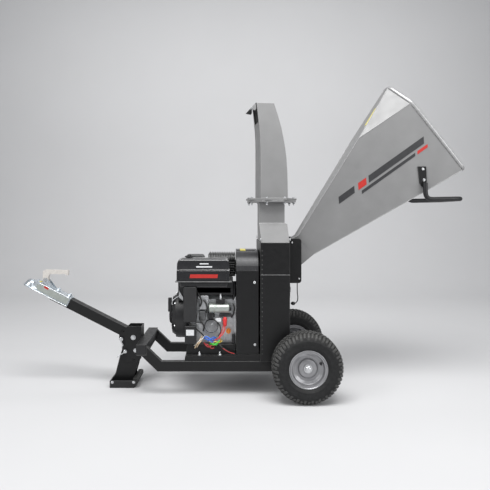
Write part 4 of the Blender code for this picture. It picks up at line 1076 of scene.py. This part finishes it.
def recoil_rope():
    """The starter's rope, a short fixed piece where it leaves the cover."""
    inside, outside = AXLE_X - 0.64, AXLE_X - 0.65
    bm = bmesh.new()
    radius, steps = 0.0023, 24
    profile = [(0, inside)] + [(radius, inside + (outside - inside) * k / steps)
                               for k in range(steps + 1)] + [(0, outside)]
    lathe(bm, profile, "X", GRIP_YZ, 16)
    mesh = bpy.data.meshes.new("recoil_rope")
    bm.to_mesh(mesh)
    bm.free()
    mesh.shade_smooth()
    mesh.materials.append(WIRE_FINISH["black"])
    rope = bpy.data.objects.new("recoil_rope", mesh)
    bpy.context.scene.collection.objects.link(rope)
    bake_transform(rope)


def recoil_starter():
    """The dished cover with its radial louvres, screws and pull rope."""
    face = -0.6223
    profile = [(0.112, 0), (0.1122, 0.006), (0.111, 0.0072), (0.1035, 0.008),
               (0.1, 0.012), (0.0975, 0.0185), (0.095, 0.0205), (0.072, 0.024),
               (0.054, 0.0272), (0.05, 0.029), (0.042, 0.04), (0.038, 0.043),
               (0.034, 0.0435), (0.02, 0.0435), (0.016, 0.0415), (0, 0.0415),
               (0, 0.0385), (0.035, 0.039), (0.046, 0.026), (0.094, 0.0165), (0.099, 0)]
    bm = bmesh.new()
    lathe(bm, profile, "X", CRANK, 72, face, -1)
    cover = piece_from(bm, "recoil_cover_finish", BLACK_PLASTIC, "chassis")
    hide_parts("recoil_cover")
    bm = bmesh.new()
    for k in range(LOUVRES):
        turn = 2 * pi * k / LOUVRES
        tip = Vector((CRANK[0] + LOUVRE_REACH * cos(turn), CRANK[1] + LOUVRE_REACH * sin(turn)))
        if (tip - Vector(GRIP_YZ)).length < GRIP_CLEAR:
            continue
        spoke = bmesh.new()
        skin(spoke, [[(face - 0.0262, r, -w), (face - 0.0262, r, w),
                      (face - 0.0215 - lift, r, w), (face - 0.0215 - lift, r, -w)]
                     for r, w, lift in ((0.056, 0.0018, 0.0085), (LOUVRE_REACH, 0.0026, 0.0025))])
        spoke.transform(Matrix.Translation((0, *CRANK)) @ Matrix.Rotation(turn, 4, "X"))
        mesh = bpy.data.meshes.new("spoke")
        spoke.to_mesh(mesh)
        spoke.free()
        bm.from_mesh(mesh)
        bpy.data.meshes.remove(mesh)
    piece_from(bm, "recoil_louvres", BLACK_PLASTIC, "chassis")
    screws = [(face - 0.0072, CRANK[0] + 0.1078 * cos(a), CRANK[1] + 0.1078 * sin(a))
              for a in [radians(20 + 60 * k) for k in range(6)]]
    bolts("recoil_screws", screws, (-1, 0, 0), 0.0042)
    recoil_rope()


def regulator():
    """A finned rectifier housing with horizontal ribs across a round face."""
    centre, radius, face = (-0.451, 0.3255), 0.0335, -0.1255
    bm = bmesh.new()
    lathe(bm, [(0, 0), (radius, 0), (radius + 0.0005, 0.0095), (radius - 0.002, 0.012),
               (0, 0.0122)], "Y", centre, 56, face, -1)
    body = piece_from(bm, "regulator_finish", CAST_IRON, "chassis")
    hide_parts("regulator")
    bm = bmesh.new()
    for k in range(-5, 6):
        z = k * 0.0054
        half = sqrt((radius - 0.0025) ** 2 - z ** 2)
        block(bm, (centre[0] - half, centre[0] + half), (face - 0.0178, face - 0.0118),
              (centre[1] + z - 0.0012, centre[1] + z + 0.0012))
    piece_from(bm, "regulator_fins", ALUMINIUM, "chassis", bevel=0.0005)
    bolts("regulator_bolt", [(centre[0] + 0.004, face - 0.0175, centre[1] + 0.01)],
          (0, -1, 0), 0.0042)


def starter_motor():
    centre, start = (-0.154, 0.417), -0.462
    profile = [(0, 0), (0.0195, 0), (0.023, 0.0025), (0.0238, 0.005), (0.0238, 0.028),
               (0.0228, 0.0296), (0.0218, 0.03), (0.0218, 0.088), (0.0224, 0.0884),
               (0.0224, 0.096), (0.0205, 0.0985), (0.013, 0.1), (0.009, 0.104),
               (0.008, 0.106), (0, 0.106)]
    bm = bmesh.new()
    lathe(bm, profile, "X", centre, 64, start)
    shell = piece_from(bm, "starter_motor_finish", ZINC_DULL, "chassis")
    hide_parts("starter_motor")
    box_piece("starter_terminal", (-0.364, -0.352), (-0.166, -0.15), (0.405, 0.423),
              BLACK_PLASTIC, 0.002)
    bm = bmesh.new()
    lathe(bm, [(0, 0), (0.0052, 0), (0.0062, 0.004), (0.0062, 0.016), (0.0036, 0.02),
               (0.0036, 0.03), (0, 0.032)], "Z", (-0.405, -0.158), 24, 0.458)
    piece_from(bm, "starter_stud", BRIGHT_BOLT, "chassis")
    box_piece("starter_bracket", (-0.428, -0.384), (-0.168, -0.142), (0.442, 0.46),
              BLACK_PLASTIC, 0.003)


def crankcase_details():
    """Castings, bolts, plugs and connectors on the crankcase's tank side."""
    # The stay plate takes the lighter edge black, painted light that lifts a strip lying in shade
    # under the tank.
    box_piece("tank_stay_plate", (-0.53, -0.352), (-0.15, -0.14), (0.487, 0.519),
              BLACK_EDGE_HIGHLIGHT, 0.004)
    tube("breather_duct", [(-0.3385, -0.13, 0.455), (-0.3385, -0.136, 0.5),
                           (-0.3385, -0.13, 0.546)], 0.0095, BLACK_PLASTIC, "chassis")
    box_piece("cable_clamp", (-0.512, -0.478), (-0.16, -0.1365), (0.356, 0.402),
              DARK_CASTING, 0.005)
    box_piece("pickup_housing", (-0.47, -0.44), (-0.16, -0.13), (0.364, 0.396),
              BLACK_PLASTIC, 0.004)
    box_piece("side_rib_plate", (-0.412, -0.345), (-0.1335, -0.1255), (0.37, 0.386),
              DARK_CASTING, 0.003)
    box_piece("lower_shield", (-0.35, -0.334), (-0.16, -0.141), (0.244, 0.29),
              BLACK_PLASTIC, 0.003)
    for k, points in enumerate((
            [(-0.52, -0.15, 0.496), (-0.508, -0.163, 0.476), (-0.498, -0.16, 0.45),
             (-0.506, -0.155, 0.424)],
            [(-0.474, -0.158, 0.396), (-0.47, -0.168, 0.418), (-0.476, -0.165, 0.44),
             (-0.488, -0.156, 0.456)],
            [(-0.505, -0.158, 0.376), (-0.498, -0.168, 0.35), (-0.486, -0.166, 0.33),
             (-0.49, -0.158, 0.306)],
            [(-0.344, -0.158, 0.44), (-0.338, -0.168, 0.42), (-0.342, -0.166, 0.392),
             (-0.352, -0.156, 0.372)])):
        tube(f"crankcase_hose_{k + 1}", smooth_path(points), 0.0042, WIRE_FINISH["black"],
             "chassis", sides=3)
    box_piece("starter_mount_casting", (-0.512, -0.464), (-0.149, -0.1262), (0.406, 0.478),
              ALUMINIUM, 0.006)
    bolts("casting_bolts", [(-0.508, -0.1495, 0.468), (-0.508, -0.1495, 0.386),
                            (-0.476, -0.1495, 0.464)], (0, -1, 0), 0.0062)
    for k, (x, z, height) in enumerate(((-0.5, 0.345, 0.05), (-0.4, 0.34, 0.052),
                                        (-0.35, 0.395, 0.075), (-0.385, 0.265, 0.03))):
        box_piece(f"crankcase_rib_{k + 1}", (x - 0.005, x + 0.005), (-0.1335, -0.1252),
                  (z - height / 2, z + height / 2), ALUMINIUM, 0.003)
    rim_places = [(-0.3355, -0.1403, z) for z in (0.262, 0.33, 0.398, 0.452)]
    bolts("cover_bolts", rim_places, (0, -1, 0), 0.0044, washer=False)
    box_piece("white_connector", (-0.431, -0.402), (-0.166, -0.15), (0.35, 0.3685),
              LABEL_WHITE, 0.003)
    box_piece("grey_connector", (-0.447, -0.433), (-0.16, -0.148), (0.372, 0.388),
              BOX_PLASTIC, 0.002)
    bm = bmesh.new()
    boot = [(0, 0), (0.0075, 0.001), (0.0088, 0.006), (0.0098, 0.02), (0.0108, 0.032),
            (0.0092, 0.041), (0.005, 0.046), (0, 0.0465)]
    lathe(bm, boot, "Z", (-0.384, -0.158), 28, 0.328)
    piece_from(bm, "red_boot", WIRE_FINISH["red"], "chassis")
    box_piece("relay_box", (-0.578, -0.522), (-0.188, -0.166), (0.248, 0.335),
              BLACK_PLASTIC, 0.004)
    box_piece("relay_label", (-0.571, -0.533), (-0.1886, -0.1878), (0.29, 0.318),
              LABEL_WHITE, 0.0003)
    bm = bmesh.new()
    prism(bm, [(-0.526, 0.341), (-0.494, 0.341), (-0.49, 0.3), (-0.5, 0.296)], "Y",
          -0.15, -0.142)
    piece_from(bm, "stay_plate", ALUMINIUM, "chassis", bevel=0.0015)
    bolts("bed_bolts", [(-0.507, -0.178, 0.1932), (-0.409, -0.178, 0.1932)], (0, 0, 1),
          0.0075, stud=0.01)
    bolts("bed_bolts_far", [(-0.507, 0.178, 0.1932), (-0.409, 0.178, 0.1932)], (0, 0, 1),
          0.0075, stud=0.01)


def shroud_details():
    """Bolts, the throttle plate and its rod."""
    places = [(-0.59, -0.1352, 0.515), (-0.57, -0.1352, 0.47)]
    bolts("shroud_bolts", places, (0, -1, 0), 0.005)
    bm = bmesh.new()
    prism(bm, [(-0.608, 0.5), (-0.59, 0.47), (-0.59, 0.452), (-0.612, 0.47)], "Y",
          -0.15, -0.146)
    piece_from(bm, "throttle_plate", BRIGHT_BOLT, "chassis", bevel=0.0008)
    lever = [(-0.604, -0.15, 0.476), (-0.622, -0.151, 0.468), (-0.64, -0.15, 0.452),
             (-0.645, -0.149, 0.436)]
    bead("throttle_rod", smooth_path(lever), 0.0018, BRIGHT_BOLT, "chassis")


def muffler_guard_ribs():
    """Pressed ribs that run over the guard's rounded edges, and louvres down its sides."""
    inner = arc((0.078, 0.636), 0.0282, 180, 90, 6) + [(0.176, 0.6642)]
    outer = arc((0.078, 0.636), 0.0335, 180, 90, 6) + [(0.176, 0.669)]
    bm = bmesh.new()
    for k in range(11):
        x = -0.471 + 0.0131 * k
        prism(bm, inner + outer[::-1], "X", x, x + 0.006)
    for k in range(6):
        z = 0.556 + 0.0125 * k
        block(bm, (-0.472, -0.336), (0.0455, 0.0499), (z, z + 0.005))
        block(bm, (-0.3318, -0.3288), (0.07, 0.184), (z, z + 0.005))
    # The ribs and louvres take the lighter edge black with light grey bevels: painted highlights on
    # the pressings.
    piece_from(bm, "muffler_guard_ribs", BLACK_EDGE_HIGHLIGHT, "chassis",
               bevel=0.001, edge=GLINT)


def carburettor():
    """Body, float bowl and fuel hose between the air filter and the cylinder."""
    box_piece("carburettor_body", (-0.556, -0.516), (0.108, 0.15), (0.505, 0.546),
              ALUMINIUM, 0.004)
    bm = bmesh.new()
    lathe(bm, [(0, 0), (0.015, 0.002), (0.0175, 0.006), (0.0175, 0.019), (0, 0.019)], "Z",
          (-0.536, 0.129), 32, 0.4865)
    piece_from(bm, "float_bowl", ALUMINIUM, "chassis")
    hose = [(-0.548, 0.11, 0.512), (-0.56, 0.085, 0.505), (-0.585, 0.074, 0.52),
            (-0.592, 0.05, 0.54), (-0.59, 0.02, 0.5445)]
    tube("fuel_hose", smooth_path(hose), 0.0035, WIRE_FINISH["black"], "chassis", sides=3)


fuel_tank()
recoil_starter()
regulator()
starter_motor()
crankcase_details()
shroud_details()
muffler_guard_ribs()
carburettor()

# ---------------------------------------------------------------- wiring held at both ends
# colour, radius in metres, and points in millimetres
WIRES = [
    ("red", 0.0026, [(-384, -160, 330), (-386, -166, 312), (-396, -170, 292), (-414, -174, 276),
        (-436, -170, 262), (-452, -160, 262)]),
    ("red", 0.0018, [(-392, -162, 332), (-398, -168, 306), (-410, -174, 282), (-404, -176, 262),
        (-420, -168, 250)]),
    ("blue", 0.003, [(-486, -160, 268), (-478, -174, 282), (-462, -180, 278), (-448, -178, 266),
        (-430, -168, 274)]),
    ("blue", 0.0026, [(-488, -156, 276), (-474, -178, 270), (-456, -182, 272), (-436, -176, 280),
        (-424, -160, 270)]),
    ("blue", 0.0022, [(-470, -165, 258), (-460, -181, 264), (-444, -182, 256), (-432, -166, 262)]),
    ("green", 0.003, [(-402, -160, 266), (-410, -178, 262), (-424, -183, 252), (-440, -182, 244),
        (-456, -166, 246)]),
    ("green", 0.0026, [(-414, -163, 254), (-426, -182, 244), (-444, -183, 250), (-458, -168, 240)]),
    ("yellow", 0.002, [(-396, -158, 258), (-412, -178, 254), (-430, -184, 260), (-446, -174, 252),
        (-462, -160, 256)]),
    ("tan", 0.0026, [(-496, -158, 282), (-504, -172, 268), (-514, -178, 254), (-524, -176, 240),
        (-530, -170, 226)]),
    ("tan", 0.0022, [(-490, -158, 272), (-500, -176, 260), (-512, -180, 246), (-520, -172, 230)]),
    ("white", 0.002, [(-482, -158, 284), (-494, -174, 272), (-508, -178, 262), (-522, -176, 250),
        (-534, -168, 236)]),
    ("dark_red", 0.003, [(-486, -164, 250), (-476, -180, 242), (-462, -184, 234),
        (-448, -180, 240), (-436, -166, 234)]),
    ("dark_red", 0.0026, [(-480, -166, 240), (-468, -183, 246), (-450, -184, 228),
        (-436, -178, 228)]),
    ("black", 0.0034, [(-560, -170, 352), (-545, -180, 338), (-520, -180, 318), (-500, -176, 300),
        (-486, -166, 284)]),
    ("black", 0.0028, [(-436, -152, 396), (-444, -164, 372), (-412, -168, 340), (-404, -166, 306),
        (-418, -160, 280)]),
    ("black", 0.003, [(-424, -160, 256), (-404, -182, 238), (-380, -184, 220), (-356, -184, 206),
        (-336, -180, 201)]),
    ("dark_red", 0.0024, [(-420, -160, 250), (-396, -184, 230), (-368, -186, 212),
        (-338, -184, 201)]),
]


def wiring():
    for k, (colour, radius, points) in enumerate(WIRES):
        path = [(x / 1000, y / 1000, z / 1000) for x, y, z in points]
        tube(f"wire_{k + 1}_{colour}", smooth_path(path), radius, WIRE_FINISH[colour],
             "chassis", sides=3)


wiring()
